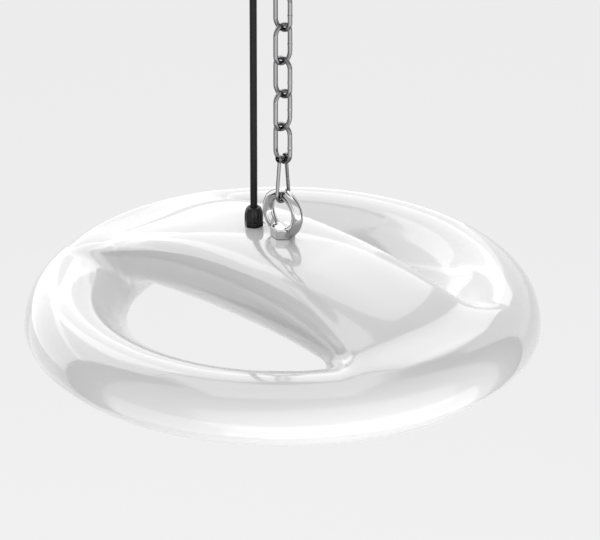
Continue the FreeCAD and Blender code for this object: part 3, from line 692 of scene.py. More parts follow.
@dataclass
class SeatShell:
    """The moulded seat: a ring and an arched bridge that run into each other.

    Attributes:
        level: Height of the ring's widest level.
        ring_radius: Radius of the ring's centreline.
        outer_reach: Reach of the ring's section outwards from its centreline.
        inner_reach: Reach of the section inwards.
        inner_power: Power of the section's inner side.
        crest_ease: How far inside the centreline the section reaches that power.
        crest: Height of the ring's crest over its widest level.
        belly: Depth of the ring's belly under that level.
        crown: Height of the bridge's top at the middle.
        spring: Height of the bridge's top at the ring's centreline.
        floor: Height of the bridge's underside at the middle.
        toe: Height of the bridge's underside at the ring's centreline.
        bridge_half_width: Half width of the bridge at the middle.
        flare: Extra half width at the ring's centreline.
        arch_power: Power of the fall from crown to spring.
        flare_power: Power of the flare.
        section_power: Power of the bridge's rounded section.
        junction: Width of the soft junction between bridge and ring.
        gland_seat: Radius of the flat seat under the gland.
        gland_sink: Depth of that seat under the crown.
        cut_height: How far the cutters of the flat seats stand up.
        cover_gap: Gap round the cover in its recess.
        cover_run: How far the recess's cutter starts below the cover.
        cell: Side of a mesh cell.
    """

    level: float
    ring_radius: float = 303.8 * MM
    outer_reach: float = 57.2 * MM
    inner_reach: float = 86.2 * MM
    inner_power: float = 1.6
    crest_ease: float = 50 * MM
    crest: float = 60.5 * MM
    belly: float = 31 * MM
    crown: float = 127 * MM
    spring: float = 45 * MM
    floor: float = 21.7 * MM
    toe: float = 8.5 * MM
    bridge_half_width: float = 105.7 * MM
    flare: float = 25.4 * MM
    arch_power: float = 2.4
    flare_power: float = 2.5
    section_power: float = 3.13
    junction: float = 28 * MM
    gland_seat: float = 16 * MM
    gland_sink: float = 2.4 * MM
    cut_height: float = 20 * MM
    cover_gap: float = 0.4 * MM
    cover_run: float = 30 * MM
    cell: float = 5 * MM

    def ring(self, points: np.ndarray) -> np.ndarray:
        """Gives the distance to the ring.

        Args:
            points: Points from the ring's centre, one per row.

        Returns:
            Signed distances.
        """
        reach = np.hypot(points[:, 0], points[:, 1]) - self.ring_radius
        height = points[:, 2]
        half_height = np.where(height > 0.0, self.crest, self.belly)
        power = 2.0 + (self.inner_power - 2.0) * smooth_step(-reach / self.crest_ease)
        inner = self.oval(reach, height, self.inner_reach, half_height, power)
        outer = self.oval(reach, height, self.outer_reach, half_height, 2.0)
        return np.where(reach < 0.0, inner, outer)

    def bridge(self, points: np.ndarray) -> np.ndarray:
        """Gives the distance to the bridge.

        Args:
            points: Points from the ring's centre, one per row.

        Returns:
            Signed distances.
        """
        share = np.clip(np.abs(points[:, 0]) / self.ring_radius, 0.0, 1.0)
        fall = share ** self.arch_power
        top = self.crown - (self.crown - self.spring) * fall
        bottom = self.floor - (self.floor - self.toe) * fall
        width = self.bridge_half_width + self.flare * share ** self.flare_power
        middle, half_height = (top + bottom) / 2, (top - bottom) / 2
        up = points[:, 2] - middle
        body = self.oval(points[:, 1], up, width, half_height, self.section_power)
        return np.maximum(body, np.hypot(points[:, 0], points[:, 1]) - self.ring_radius)

    @staticmethod
    def oval(
        across: np.ndarray, up: np.ndarray, width: np.ndarray | float,
        height: np.ndarray | float, power: np.ndarray | float,
    ) -> np.ndarray:
        """Gives the distance to a rounded oval section.

        Args:
            across: Offsets across the section.
            up: Offsets along its height.
            width: Half width.
            height: Half height.
            power: 2 for an ellipse, more for a squarer form.

        Returns:
            Signed distances, exact at the surface.
        """
        x, z = np.abs(across) / width, np.abs(up) / height
        total = (x ** power + z ** power + 1e-12) ** (1.0 / power)
        slope_x = x ** (power - 1) / width * total ** (1 - power)
        slope_z = z ** (power - 1) / height * total ** (1 - power)
        return (total - 1.0) / (np.hypot(slope_x, slope_z) + 1e-6)

    def field(self, points: np.ndarray) -> np.ndarray:
        """Gives the signed distance to the whole seat at points from the ring's centre."""
        return smooth_min(self.ring(points), self.bridge(points), self.junction)

    def build(self) -> list[bpy.types.Object]:
        """Makes the seat's skin, with flat seats for eye nut and gland and a recess for the cover.

        Returns:
            The mesh object, in place of the CAD shell.
        """
        edge = 2 * self.cell
        reach = self.ring_radius + self.outer_reach + edge
        low, high = (-reach, -reach, -self.belly - edge), (reach, reach, self.crown + edge)
        points, quads = SurfaceNet(self.field, low, high, self.cell).build()
        points[:, 2] += self.level
        seat = new_object("seat_skin", points, quads, WHITE_PLASTIC)
        self.cut_seats(seat)
        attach(seat, "seat")
        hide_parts("seat_shell")
        return [seat]

    def cut_seats(self, seat: bpy.types.Object) -> None:
        """Cuts the flat seats and the cover's recess into the skin.

        Args:
            seat: The seat's mesh object.
        """
        gasket_low, gasket_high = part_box("eye_gasket")
        gland_low, gland_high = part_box("seat_gland_nut")
        cover_low, cover_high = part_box("base_cover")
        gasket_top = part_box("cover_gasket")[1]
        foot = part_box("eye_nut")[0].z - (gasket_high.z - gasket_low.z)
        top = self.level + self.crown
        gland = Vector(((gland_low + gland_high).x / 2, 0, top - self.gland_sink))
        start = cover_low.z - self.cover_run
        cutters = [
            self.cutter((gasket_high.x - gasket_low.x) / 2, Vector((0, 0, foot)), self.cut_height),
            self.cutter(self.gland_seat, gland, self.cut_height),
            self.cutter(
                (cover_high.x - cover_low.x) / 2 + self.cover_gap, Vector((0, 0, start)),
                gasket_top.z - start,
            ),
        ]
        carve(seat, cutters)
        sharpen(seat, Edge.MOULDED)

    @staticmethod
    def cutter(radius: float, foot: Vector, height: float) -> bpy.types.Object:
        """Makes an upright round cutter.

        Args:
            radius: Its radius.
            foot: The middle of its lower face.
            height: Its height.

        Returns:
            The cutter, a closed mesh.
        """
        work = bmesh.new()
        bmesh.ops.create_cone(
            work, cap_ends=True, segments=128, radius1=radius, radius2=radius, depth=height
        )
        bmesh.ops.translate(work, verts=work.verts, vec=foot + Vector((0, 0, height / 2)))
        mesh = bpy.data.meshes.new("cutter")
        work.to_mesh(mesh)
        work.free()
        return add_object("cutter", mesh)


@dataclass
class EyeNut:
    """The forged eye nut: a ring that grows out of a six-sided collar.

    Attributes:
        base: Middle of the collar's foot.
        ring_radius: Radius of the ring's centreline.
        tube_radius: Radius of the ring's section.
        height: Total height.
        collar_flats: Half the collar's size across its flats.
        collar_height: Height of the collar.
        collar_turn: Turn of the collar's corners against the ring, in degrees.
        blend: Width of the soft junction between ring and collar.
        edge: Rounding of the collar's edges.
        cell: Side of a mesh cell.
        margin: Space left round the eye nut when it is meshed.
    """

    base: Vector
    ring_radius: float = 28 * MM
    tube_radius: float = 8 * MM
    height: float = 71 * MM
    collar_flats: float = 15 * MM
    collar_height: float = 15 * MM
    collar_turn: float = 45.0
    blend: float = 2.5 * MM
    edge: float = 0.9 * MM
    cell: float = 1.1 * MM
    margin: float = 2 * MM

    def field(self, points: np.ndarray) -> np.ndarray:
        """Gives the distance to the eye nut.

        Args:
            points: Points from the collar's foot, one per row.

        Returns:
            Signed distances.
        """
        middle = self.height - self.ring_radius - self.tube_radius
        in_plane = np.hypot(points[:, 0], points[:, 2] - middle) - self.ring_radius
        ring = np.hypot(in_plane, points[:, 1]) - self.tube_radius
        bearing = np.arctan2(points[:, 1], points[:, 0]) - math.radians(self.collar_turn)
        sector = math.pi / 3
        off_flat = np.mod(bearing, sector) - sector / 2
        reach = np.hypot(points[:, 0], points[:, 1]) * np.cos(off_flat) - self.collar_flats
        half = self.collar_height / 2
        collar = rounded_overlap(reach, np.abs(points[:, 2] - half) - half, self.edge)
        return np.maximum(smooth_min(ring, collar, self.blend), -points[:, 2])

    def build(self) -> list[bpy.types.Object]:
        """Makes the eye nut.

        Returns:
            The mesh object, in place of the CAD eye nut.
        """
        corner = 1.16
        side = self.ring_radius + self.tube_radius + self.margin
        depth = self.collar_flats * corner + self.margin
        low, high = (-side, -depth, -self.margin), (side, depth, self.height + self.margin)
        points, quads = SurfaceNet(self.field, low, high, self.cell, rounds=6).build()
        points[:, 2] = np.maximum(points[:, 2], 0.0)
        eye = new_object("eye_nut_forging", points + np.array(self.base), quads, POLISHED_STEEL)
        sharpen(eye, Edge.FORGED)
        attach(eye, "seat")
        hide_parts("eye_nut")
        return [eye]


# --- chain and shackle ---


@dataclass
class ChainLink:
    """One welded link of the chain, with the bead of its weld on one side.

    Attributes:
        number: Number of the link, 1 at the shackle.
        wire: Radius of the wire.
        weld: Place of the weld, as a share of the way round.
        weld_swell: Extra radius at the weld, as a share.
        weld_spread: Length of the weld bead, as a share of the way round.
        steps: Steps of half the way round.
    """

    number: int
    wire: float = 3.25 * MM
    weld: float = 0.07
    weld_swell: float = 0.10
    weld_spread: float = 0.012
    steps: int = 60

    def build(self) -> list[bpy.types.Object]:
        """Makes the link where its CAD solid lies.

        Returns:
            The mesh object, in place of the CAD link.
        """
        node = f"chain_link_{self.number}"
        low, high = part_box(node)
        middle, size = (low + high) / 2, high - low
        lie = Lie.ALONG_X if size.x > size.y else Lie.ALONG_Y
        half_width, half_height = (side / 2 - self.wire for side in (max(size.x, size.y), size.z))
        path = [
            middle + Vector(lie.value) * across + Vector((0, 0, up))
            for across, up in self.outline(half_width, half_height)
        ]
        name = f"link_{self.number}_wire"
        link = Wire(name, path, self.thickness, CHAIN_STEEL, closed=True).build()
        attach(link, f"link_{self.number}")
        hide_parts(node)
        return [link]

    def outline(self, half_width: float, half_height: float) -> list[tuple[float, float]]:
        """Gives the centreline: two straight sides and two half circles.

        Args:
            half_width: Half the distance between the sides.
            half_height: Half the distance between the crowns.

        Returns:
            Points as (across, up), evenly spaced from the foot of one side.
        """
        straight = half_height - half_width
        length = 2 * straight + math.pi * half_width
        half = []
        for index in range(self.steps):
            way = length * index / self.steps - straight
            angle = max(way - straight, 0.0) / half_width
            half.append((
                half_width * math.cos(angle), min(way, straight) + half_width * math.sin(angle)
            ))
        return half + [(-across, -up) for across, up in half]

    def thickness(self, share: float) -> float:
        """Gives the wire's radius at a share of the way round, a little more at the weld."""
        bead = math.exp(-(((share - self.weld) / self.weld_spread) ** 2))
        return self.wire * (1.0 + self.weld_swell * bead)


@dataclass
class Shackle:
    """The long shackle: a bow that widens round the eye nut, and its screwed pin.

    Attributes:
        wire: Radius of the bow's wire.
        bow_radius: Radius of the bow's round end.
        ear_spacing: Distance of each ear's middle from the chain's axis.
        ear_radius: Radius of the flattened ears.
        ear_half: Half the thickness of an ear.
        ear_edge: Rounding of the ears' edges.
        blend: Width of the soft junction between wire and ears.
        pin_radius: Radius of the pin.
        pin_head: Height of the pin's head.
        pin_edge: Rounding of the pin's edges.
        cell: Side of a mesh cell.
        margin: Space left round the bow when it is meshed.
    """

    wire: float = 2.5 * MM
    bow_radius: float = 11.2 * MM
    ear_spacing: float = 6.2 * MM
    ear_radius: float = 5.0 * MM
    ear_half: float = 2.5 * MM
    ear_edge: float = 0.6 * MM
    blend: float = 1.5 * MM
    pin_radius: float = 2.5 * MM
    pin_head: float = 1.8 * MM
    pin_edge: float = 0.5 * MM
    cell: float = 0.55 * MM
    margin: float = 2 * MM

    def build(self) -> list[bpy.types.Object]:
        """Makes bow and pin.

        Returns:
            The two mesh objects, in place of their CAD solids.
        """
        bow_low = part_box("shackle_bow")[0]
        pin_low, pin_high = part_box("shackle_pin")
        pin_level = (pin_low.z + pin_high.z) / 2
        bow = self.bow(bow_low.z, pin_level)
        pin = self.pin(pin_low, pin_high, pin_level)
        for piece, node in ((bow, "shackle_bow"), (pin, "shackle_pin")):
            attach(piece, "shackle")
            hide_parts(node)
        return [bow, pin]

    def bow(self, lowest: float, pin_level: float) -> bpy.types.Object:
        """Makes the bow as one soft union of its wire and its ears.

        Args:
            lowest: Height of the bow's underside.
            pin_level: Height of the pin's axis.

        Returns:
            The mesh object.
        """
        centre = lowest + self.wire + self.bow_radius
        rise = pin_level - centre
        lean = math.atan2(self.ear_spacing, rise) + math.acos(
            self.bow_radius / math.hypot(self.ear_spacing, rise)
        )
        leave = self.bow_radius * np.array([math.sin(lean), math.cos(lean)]) + [0.0, centre]
        leg_run = np.array([self.ear_spacing, pin_level]) - leave
        length = float(np.linalg.norm(leg_run))
        side = leg_run / length
        slant = 0.1

        def field(points: np.ndarray) -> np.ndarray:
            """Gives the distance to the bow.

            Args:
                points: Points, one per row.

            Returns:
                Signed distances.
            """
            flat = np.stack([np.abs(points[:, 1]), points[:, 2]], axis=1)
            from_centre = flat - np.array([0.0, centre])
            bend = np.hypot(*from_centre.T) - self.bow_radius
            along = np.clip((flat - leave) @ side, 0.0, length)
            gap = flat - leave - along[:, None] * side
            leg = np.hypot(np.hypot(*gap.T), points[:, 0]) - self.wire
            round_end = np.hypot(bend, points[:, 0]) - self.wire
            on_bend = from_centre[:, 1] < leave[1] - centre + (from_centre[:, 0] - leave[0]) * slant
            wire = np.where(on_bend, np.minimum(round_end, leg), leg)
            from_pin = np.hypot(points[:, 0], points[:, 2] - pin_level)
            out = np.abs(flat[:, 0] - self.ear_spacing) - self.ear_half
            whole = smooth_min(
                wire, rounded_overlap(from_pin - self.ear_radius, out, self.ear_edge), self.blend
            )
            inner = self.ear_spacing - self.ear_half - flat[:, 0]
            slot = np.minimum(inner, self.ear_radius - np.abs(points[:, 2] - pin_level))
            return np.maximum(np.maximum(whole, self.pin_radius - from_pin), slot)

        depth = self.ear_radius + self.margin
        width = self.bow_radius + self.wire + self.margin
        low, high = (-depth, -width, lowest - self.margin), (depth, width, pin_level + depth)
        points, quads = SurfaceNet(field, low, high, self.cell, rounds=3).build()
        bow = new_object("shackle_wire", points, quads, CHAIN_STEEL)
        sharpen(bow, Edge.FORGED)
        return bow

    def pin(self, low: Vector, high: Vector, level: float) -> bpy.types.Object:
        """Makes the pin, with a rounded head that ends in a plain dome.

        Args:
            low: Lowest corner of the CAD pin.
            high: Highest corner of the CAD pin.
            level: Height of its axis.

        Returns:
            The mesh object.
        """
        length = high.y - low.y
        head_radius = (high.z - low.z) / 2
        profile = rounded(
            [(0.0, 0.0), (head_radius, 0.0), (head_radius, self.pin_head),
             (self.pin_radius, self.pin_head), (self.pin_radius, length), (0.0, length)],
            self.pin_edge,
        )
        pin = TurnedPiece("shackle_pin_turned", profile, CHAIN_STEEL, segments=48).build(Vector())
        for vertex in pin.data.vertices:
            x, y, z = vertex.co
            vertex.co = (x, low.y + z, level + y)
        pin.data.flip_normals()
        return pin


# --- glands and cable ---


@dataclass
class CableGland:
    """A cable gland: six-sided body, domed grip nut and the lip of its seal.

    Attributes:
        side: End of the cable, which gives the CAD nodes' names and the body it rides on.
        flats: Half the size across the body's flats.
        corner: Greatest reach of the body's blunt corners, as a multiple of flats.
        body_height: Height of the six-sided body.
        body_edge: Rounding of the body's edges.
        thread: Radius of the thread under the body.
        bore: Radius of the bore.
        nut_radius: Radius of the nut.
        nut_height: Height of the nut.
        nut_gap: Gap between body and nut.
        barrel: Height of the nut's straight part.
        ribs: Number of grip ribs.
        rib_depth: Depth of the grooves between them, as a share of the radius.
        rib_start: Height over which the grooves set in.
        rib_power: Power that makes the grooves narrower than the ribs.
        mouth: Radius of the nut's mouth.
        seal: Radius of the rubber seal.
        seal_foot: Height at which the seal starts.
        seal_edge: Rounding of the seal's lip.
        cable: Radius of the cable.
    """

    side: Side
    flats: float = 12.0 * MM
    corner: float = 1.11
    body_height: float = 7.5 * MM
    body_edge: float = 0.8 * MM
    thread: float = 9.98 * MM
    bore: float = 6.5 * MM
    nut_radius: float = 13.1 * MM
    nut_height: float = 20.5 * MM
    nut_gap: float = 0.05 * MM
    barrel: float = 7.0 * MM
    ribs: int = 10
    rib_depth: float = 0.085
    rib_start: float = 2.0 * MM
    rib_power: int = 4
    mouth: float = 7.5 * MM
    seal: float = 6.4 * MM
    seal_foot: float = 6.0 * MM
    seal_edge: float = 0.5 * MM
    cable: float = 5.0 * MM

    def build(self) -> list[bpy.types.Object]:
        """Makes the pieces of the gland that show.

        Returns:
            The mesh objects, in place of the CAD body, nut and seal.
        """
        side = self.side.value
        up = 1 if self.side is Side.SEAT else -1
        low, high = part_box(f"{side}_gland_nut")
        thread_low, thread_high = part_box(f"{side}_gland_body")
        joint, end = (low.z, thread_low.z) if up > 0 else (high.z, thread_high.z)
        foot = Vector(((low + high).x / 2, (low + high).y / 2, joint - up * self.body_height))
        pieces = []
        for node, label, slot, finish, segments, profile, shape in (
            ("gland_body", "gland_hex", "black_nylon", BLACK_NYLON, 144,
             self.body_profile(abs(foot.z - end)), self.six_sided),
            ("gland_nut", "gland_grip", "black_nylon", BLACK_NYLON, 200,
             self.nut_profile(), self.ribbed),
            ("gland_seal", "gland_lip", "black_rubber", BLACK_RUBBER, 64,
             self.seal_profile(), None),
        ):
            piece = TurnedPiece(f"{side}_{label}", profile, finish, segments, shape).build(foot, up)
            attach(piece, side)
            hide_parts(f"{side}_{node}")
            pieces.append(piece)
        return pieces

    def body_profile(self, depth: float) -> list[tuple[float, float]]:
        """Gives the section of the body with its flange and thread.

        Args:
            depth: Length of the thread under the body's foot.

        Returns:
            Corners as (radius, height).
        """
        return rounded(
            [(self.bore, -depth), (self.thread, -depth), (self.thread, 0.0), (self.flats, 0.0),
             (self.flats, self.body_height), (self.bore, self.body_height)],
            self.body_edge,
        )

    def six_sided(self, angle: float, height: float) -> float:
        """Gives the factor that turns the round body into a blunt hexagon.

        Args:
            angle: Angle round the body.
            height: Height over its foot.

        Returns:
            Factor on the radius.
        """
        edge = self.body_edge / 2
        if not edge < height < self.body_height - edge:
            return 1.0
        sector = math.pi / 3
        offset = (angle + sector / 2) % sector - sector / 2
        return min(1.0 / math.cos(offset), self.corner)

    def nut_profile(self) -> list[tuple[float, float]]:
        """Gives the section of the domed nut.

        Returns:
            Corners as (radius, height).
        """
        base = self.body_height + self.nut_gap
        profile = [
            (self.bore, base), (self.nut_radius - self.body_edge, base),
            (self.nut_radius, base + self.body_edge),
        ]
        steps = 8
        for step in range(steps + 1):
            angle = math.pi / 2 * step / steps
            profile.append((
                self.mouth + (self.nut_radius - self.mouth) * math.cos(angle),
                base + self.barrel + (self.nut_height - self.barrel) * math.sin(angle),
            ))
        return profile + [(self.bore, base + self.nut_height)]

    def ribbed(self, angle: float, height: float) -> float:
        """Gives the factor that sets the grip ribs off from the grooves.

        Args:
            angle: Angle round the nut.
            height: Height over the body's foot.

        Returns:
            Factor on the radius.
        """
        rise = height - self.body_height - self.nut_gap
        wave = 0.5 + 0.5 * math.cos(angle * self.ribs)
        depth = self.rib_depth * (
            1.0 - max(0.0, (rise - self.barrel) / (self.nut_height - self.barrel))
        )
        fade = min(1.0, max(0.0, rise / self.rib_start))
        return 1.0 - depth * fade * wave ** self.rib_power

    def seal_profile(self) -> list[tuple[float, float]]:
        """Gives the section of the rubber seal, whose lip shows round the cable.

        Returns:
            Corners as (radius, height).
        """
        foot, top = self.seal_foot, self.body_height + self.nut_height
        return rounded(
            [(self.cable, foot), (self.seal, foot), (self.seal, top), (self.cable, top)],
            self.seal_edge,
        )


@dataclass
class PowerCable:
    """The taut power cable, in spans that meet at the chain's joints.

    Attributes:
        route: Upper and lower end of the cable.
        radius: Radius of the cable.
        overlap: Length by which a span runs past the heights of the joints at its ends.
        least: Least length of a span, as a multiple of the diameter.
        inset: How much narrower a span is where it starts inside the one above.
    """

    route: tuple[tuple[float, float, float], ...] = ((-0.057, 0, -0.0005), (-0.057, 0, -0.5107))
    radius: float = 5.0 * MM
    overlap: float = 4.2 * MM
    least: float = 6.1
    inset: float = 0.03 * MM

    def build(self) -> list[bpy.types.Object]:
        """Makes the spans from the ceiling to the seat.

        Returns:
            The mesh objects, in place of the CAD cable.
        """
        high, low = (point[2] for point in self.route)
        links = [f"link_{number}" for number in range(LINKS, 0, -1)]
        bodies = ["ceiling", *links, "shackle", "seat"]
        marks = [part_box("ceiling_gland_nut")[0].z]
        for node in (*(f"chain_{link}" for link in links), "shackle_bow"):
            bottom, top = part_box(node)
            marks.append((bottom.z + top.z) / 2)
        marks.append(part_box("seat_gland_nut")[1].z)
        spans = []
        last = len(bodies) - 2
        above = high
        for index in range(last + 1):
            top = high if index == 0 else marks[index] + self.overlap
            bottom = low if index == last else marks[index + 1] - self.overlap
            bottom = min(bottom, top - self.least * 2 * self.radius)
            ends = (top, bottom, top - above)
            spans.append(self.span(index, ends))
            above = bottom
        return spans

    def span(
        self, index: int, ends: tuple[float, float, float],
    ) -> bpy.types.Object:
        """Makes one span.

        Args:
            index: Number of the span, from the ceiling.
            ends: Heights of the span's upper and lower end, and the length that starts inside the
                span above.

        Returns:
            The mesh object.
        """
        x, y, _ = self.route[0]
        top, bottom, covered = ends
        line = spline_points([(x, y, top), (x, y, (top + bottom) / 2), (x, y, bottom)])
        hidden = covered / (top - bottom)

        def thickness(share: float) -> float:
            """Gives the cable's radius, less where the span starts inside the one above."""
            return self.radius - (self.inset if share < hidden else 0.0)

        tube = Wire(f"cable_span_{index + 1}", line, thickness, CABLE_JACKET, sides=32).build()
        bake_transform(tube)
        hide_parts("power_cable")
        return tube


# --- studio ---


def stand(
    focus: Vector, azimuth: float, elevation: float, distance: float
) -> tuple[Vector, Quaternion]:
    """Places something that faces a point from some way off.

    Args:
        focus: The point.
        azimuth: Bearing in degrees, 0 towards -Y and 90 towards +X.
        elevation: Height over the horizon, in degrees.
        distance: Distance from the point.

    Returns:
        Its place and its turn, with its -Z towards the point and its Y upwards.
    """
    turn, rise = math.radians(azimuth), math.radians(elevation)
    away = Vector(
        (math.sin(turn) * math.cos(rise), -math.cos(turn) * math.cos(rise), math.sin(rise))
    )
    return focus + away * distance, (-away).to_track_quat("-Z", "Y")


def add_card(
    name: str, corners: Sequence[Sequence[float]], material: bpy.types.Material
) -> bpy.types.Object:
    """Makes a flat card of the stage.

    Args:
        name: Name of the card.
        corners: Its four corners.
        material: Its material.

    Returns:
        The card's mesh object.
    """
    mesh = bpy.data.meshes.new(name)
    mesh.from_pydata(corners, [], [(0, 1, 2, 3)])
    mesh.materials.append(material)
    card = add_object(name, mesh)
    return card


@dataclass(frozen=True)
class Panel:
    """A flat panel that faces the part.

    Attributes:
        name: Name of the panel.
        bearing: Bearing in degrees, counted from the camera to its right hand.
        rise: Height over the horizon, in degrees.
        width: Width as an angle seen from the part, in degrees.
        height: Height as such an angle.
        distance: Distance from the part.
    """

    name: str
    bearing: float
    rise: float
    width: float
    height: float
    distance: float

    def half_sizes(self) -> tuple[float, float]:
        """Gives half the panel's width and height, in metres."""
        across, up = (math.tan(math.radians(angle / 2)) for angle in (self.width, self.height))
        return self.distance * across, self.distance * up


@dataclass(frozen=True)
class SoftBox(Panel):
    """A soft box.

    Attributes:
        level: Brightness of its face, where 1 is white.
    """

    level: float

    def build(self, focus: Vector, camera_azimuth: float) -> bpy.types.Object:
        """Makes the lamp.

        Args:
            focus: Point that it faces.
            camera_azimuth: Bearing of the camera, in degrees.

        Returns:
            The lamp's object.
        """
        data = bpy.data.lights.new(self.name, "AREA")
        data.shape = "RECTANGLE"
        data.size, data.size_y = (2 * half for half in self.half_sizes())
        data.energy = math.pi * data.size * data.size_y * self.level
        lamp = add_object(self.name, data)
        place, turn = stand(focus, camera_azimuth + self.bearing, self.rise, self.distance)
        lamp.location, lamp.rotation_euler = place, turn.to_euler()
        lamp.visible_camera = False
        return lamp


@dataclass(frozen=True)
class Flag(Panel):
    """A black card, which gives polished metal a dark edge to mirror.

    Attributes:
        shade: Linear grey of the card.
    """

    shade: float = 0.004

    def build(self, focus: Vector, camera_azimuth: float) -> bpy.types.Object:
        """Makes the card, which only mirrors see.

        Args:
            focus: Point that it faces.
            camera_azimuth: Bearing of the camera, in degrees.

        Returns:
            The card's mesh object.
        """
        material = bpy.data.materials.new(self.name)
        material.use_nodes = True
        shader = material.node_tree.nodes["Principled BSDF"]
        set_inputs(shader, {"Base Color": grey(self.shade), "Roughness": 0.9})
        place, turn = stand(focus, camera_azimuth + self.bearing, self.rise, self.distance)
        half_width, half_height = self.half_sizes()
        corners = [
            turn @ Vector((x * half_width, y * half_height, 0.0)) + place for x, y in CARD_CORNERS
        ]
        card = add_card(self.name, corners, material)
        card.visible_camera = card.visible_diffuse = card.visible_shadow = False
        return card


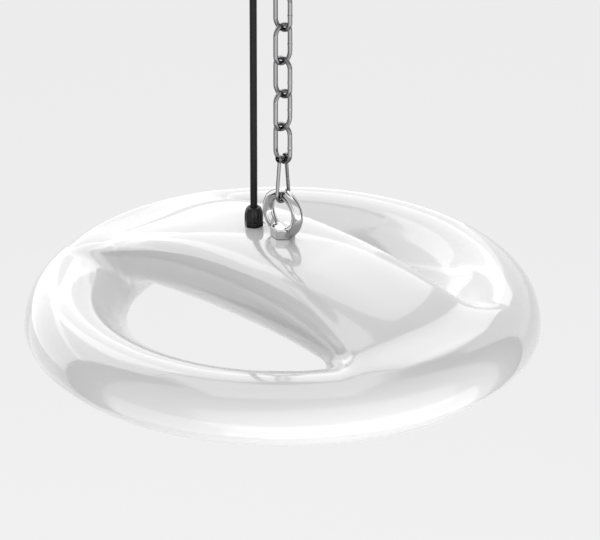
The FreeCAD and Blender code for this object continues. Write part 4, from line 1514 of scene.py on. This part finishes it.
@dataclass
class Studio:
    """Camera, lamps and surroundings.

    Attributes:
        focus: Point of the part that the view is built round.
        azimuth: Bearing of the camera, in degrees, 0 from -Y and 90 from +X.
        elevation: Height of the camera over the horizon, in degrees.
        distance: Distance of the camera from the focus.
        lens: Focal length, in millimetres.
        sensor: Width of the camera's sensor, in millimetres.
        shift: Shift of the view, as shares of its width.
        sight: Farthest distance that the camera sees.
        backdrop: Linear grey of the background.
        bounce: Linear grey of the surroundings that light the part.
        boxes: Soft boxes round the part.
        flags: Black cards round the part.
        floor_level: Height of the floor.
        floor_side: Side of the floor.
        floor_grey: Linear grey of the floor under the lamps.
        floor_shade: Share of the floor's look that follows its light and shadow.
        floor_lift: How much brighter the rest is for that, as a multiple of floor_shade.
    """

    focus: Vector
    azimuth: float = 45.0
    elevation: float = 26.0
    distance: float = 5.6
    lens: float = 240.0
    sensor: float = 36.0
    shift: tuple[float, float] = (0.0287, 0.0797)
    sight: float = 50.0
    backdrop: float = 0.885
    bounce: float = 0.21
    boxes: tuple[SoftBox, ...] = (
        SoftBox("low_left_box", -46.0, -17.0, 50.0, 34.0, 1.7, 0.85),
        SoftBox("low_front_box", 6.0, -17.0, 54.0, 34.0, 1.7, 1.6),
        SoftBox("low_right_box", 58.0, -17.0, 50.0, 34.0, 1.7, 1.3),
        SoftBox("front_box", 20.0, 12.0, 110.0, 50.0, 2.6, 0.80),
        SoftBox("left_box", -128.0, 12.0, 62.0, 36.0, 2.6, 0.95),
        SoftBox("low_rear_left_box", -120.0, -18.0, 32.0, 30.0, 1.7, 0.3),
        SoftBox("rear_box", -172.0, 12.0, 44.0, 34.0, 2.6, 0.55),
        SoftBox("high_rear_box", -176.0, 44.0, 60.0, 36.0, 2.6, 1.25),
        SoftBox("high_left_box", -122.0, 44.0, 46.0, 36.0, 2.6, 1.0),
        SoftBox("rear_right_box", 140.0, 26.0, 56.0, 48.0, 2.6, 0.25),
        SoftBox("top_box", 0.0, 88.0, 46.0, 46.0, 2.6, 1.05),
    )
    flags: tuple[Flag, ...] = (
        Flag("left_flag", -84.0, 8.0, 22.0, 110.0, 1.5),
        Flag("right_flag", 104.0, 8.0, 20.0, 110.0, 1.5),
    )
    floor_level: float = -1.9
    floor_side: float = 60.0
    floor_grey: float = 0.7
    floor_shade: float = 0.1
    floor_lift: float = 0.3

    def build(self) -> None:
        """Makes camera, lamps, floor and world."""
        self.camera()
        self.world()
        self.floor()
        self.lamps()
        bpy.context.scene.view_settings.view_transform = "Standard"

    def camera(self) -> None:
        """Puts the camera in place."""
        data = bpy.data.cameras.new("camera")
        data.lens, data.sensor_width, data.clip_end = self.lens, self.sensor, self.sight
        data.shift_x, data.shift_y = self.shift
        camera = add_object("camera", data)
        place, turn = stand(self.focus, self.azimuth, self.elevation, self.distance)
        camera.location, camera.rotation_euler = place, turn.to_euler()
        bpy.context.scene.camera = camera

    def world(self) -> None:
        """Makes pale surroundings: one grey to be seen, and a dimmer one to light the part."""
        world = bpy.data.worlds.new("surroundings")
        bpy.context.scene.world = world
        world.use_nodes = True
        tree = world.node_tree
        tree.nodes.clear()
        bounce = add_node(tree, "Background", {"Color": grey(self.bounce)})
        seen = add_node(tree, "Background", {"Color": grey(self.backdrop)})
        mix = add_node(tree, "MixShader")
        tree.links.new(self.seen_rays(tree), mix.inputs["Fac"])
        link_nodes(tree, (
            (bounce, "Background", mix, 1),
            (seen, "Background", mix, 2),
            (mix, "Shader", add_node(tree, "OutputWorld"), "Surface"),
        ))

    @staticmethod
    def seen_rays(tree: bpy.types.NodeTree) -> bpy.types.NodeSocket:
        """Tells the rays that show a surface, directly or in a mirror or glass, from the others.

        Args:
            tree: Node tree that the nodes are added to.

        Returns:
            A socket that is 1 for such rays and 0 for those that light the part.
        """
        path = add_node(tree, "LightPath")
        value = path.outputs["Is Camera Ray"]
        for kind in ("Is Glossy Ray", "Is Transmission Ray"):
            either = add_node(tree, "Math")
            either.operation = "MAXIMUM"
            tree.links.new(value, either.inputs[0])
            tree.links.new(path.outputs[kind], either.inputs[1])
            value = either.outputs["Value"]
        return value

    def floor(self) -> None:
        """Makes a plain pale floor far below the seat, which can't be seen from underneath."""
        material = bpy.data.materials.new("floor")
        material.use_nodes = True
        tree = material.node_tree
        tree.nodes.clear()
        level = self.backdrop * (1.0 + self.floor_lift * self.floor_shade)
        matt = add_node(tree, "BsdfDiffuse", {"Color": grey(self.floor_grey)})
        plain = add_node(tree, "Emission", {"Color": grey(level)})
        share = add_node(tree, "Math", {1: 1.0 - self.floor_shade})
        share.operation = "MULTIPLY"
        mix, one_sided = add_node(tree, "MixShader"), add_node(tree, "MixShader")
        tree.links.new(self.seen_rays(tree), share.inputs[0])
        link_nodes(tree, (
            (share, "Value", mix, "Fac"),
            (matt, "BSDF", mix, 1),
            (plain, "Emission", mix, 2),
            (add_node(tree, "NewGeometry"), "Backfacing", one_sided, "Fac"),
            (mix, "Shader", one_sided, 1),
            (add_node(tree, "BsdfTransparent"), "BSDF", one_sided, 2),
            (one_sided, "Shader", add_node(tree, "OutputMaterial"), "Surface"),
        ))
        half = self.floor_side / 2
        corners = [(x * half, y * half, self.floor_level) for x, y in CARD_CORNERS]
        add_card("floor", corners, material)

    def lamps(self) -> None:
        """Puts the soft boxes and the black cards round the part."""
        for piece in (*self.boxes, *self.flags):
            piece.build(self.focus, self.azimuth)


# --- the whole scene ---


def finish_cad_nodes() -> None:
    """Gives every CAD node its finish, from the record's material slots, and its sharp edges."""
    slots = {part["node"]: part["material_slot"] for part in frame["record"]["subparts"]}
    for node, obj in frame["nodes"].items():
        obj.data.materials.clear()
        obj.data.materials.append(FINISHES[slots[node]].build())
        if obj.data.polygons:
            edges = obj.modifiers.new("edges", "EDGE_SPLIT")
            edges.split_angle = math.radians(Edge.CAD.value)


def main() -> None:
    """Builds the whole visual model."""
    logging.basicConfig(level=logging.INFO)
    finish_cad_nodes()
    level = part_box("seat_shell")[0].z + SeatShell.belly
    eye_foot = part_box("eye_nut")[1].z - EyeNut.height
    for assembly in (
        SeatShell(level),
        EyeNut(Vector((0, 0, eye_foot))),
        *(ChainLink(number) for number in range(1, LINKS + 1)),
        Shackle(),
        *(CableGland(side) for side in Side),
        PowerCable(),
    ):
        for piece in assembly.build():
            kind, faces = type(assembly).__name__, len(piece.data.polygons)
            LOG.info("%s: %s, %d faces", kind, piece.name, faces)
    Studio(Vector((0, 0, level))).build()


if __name__ == "__main__":
    main()
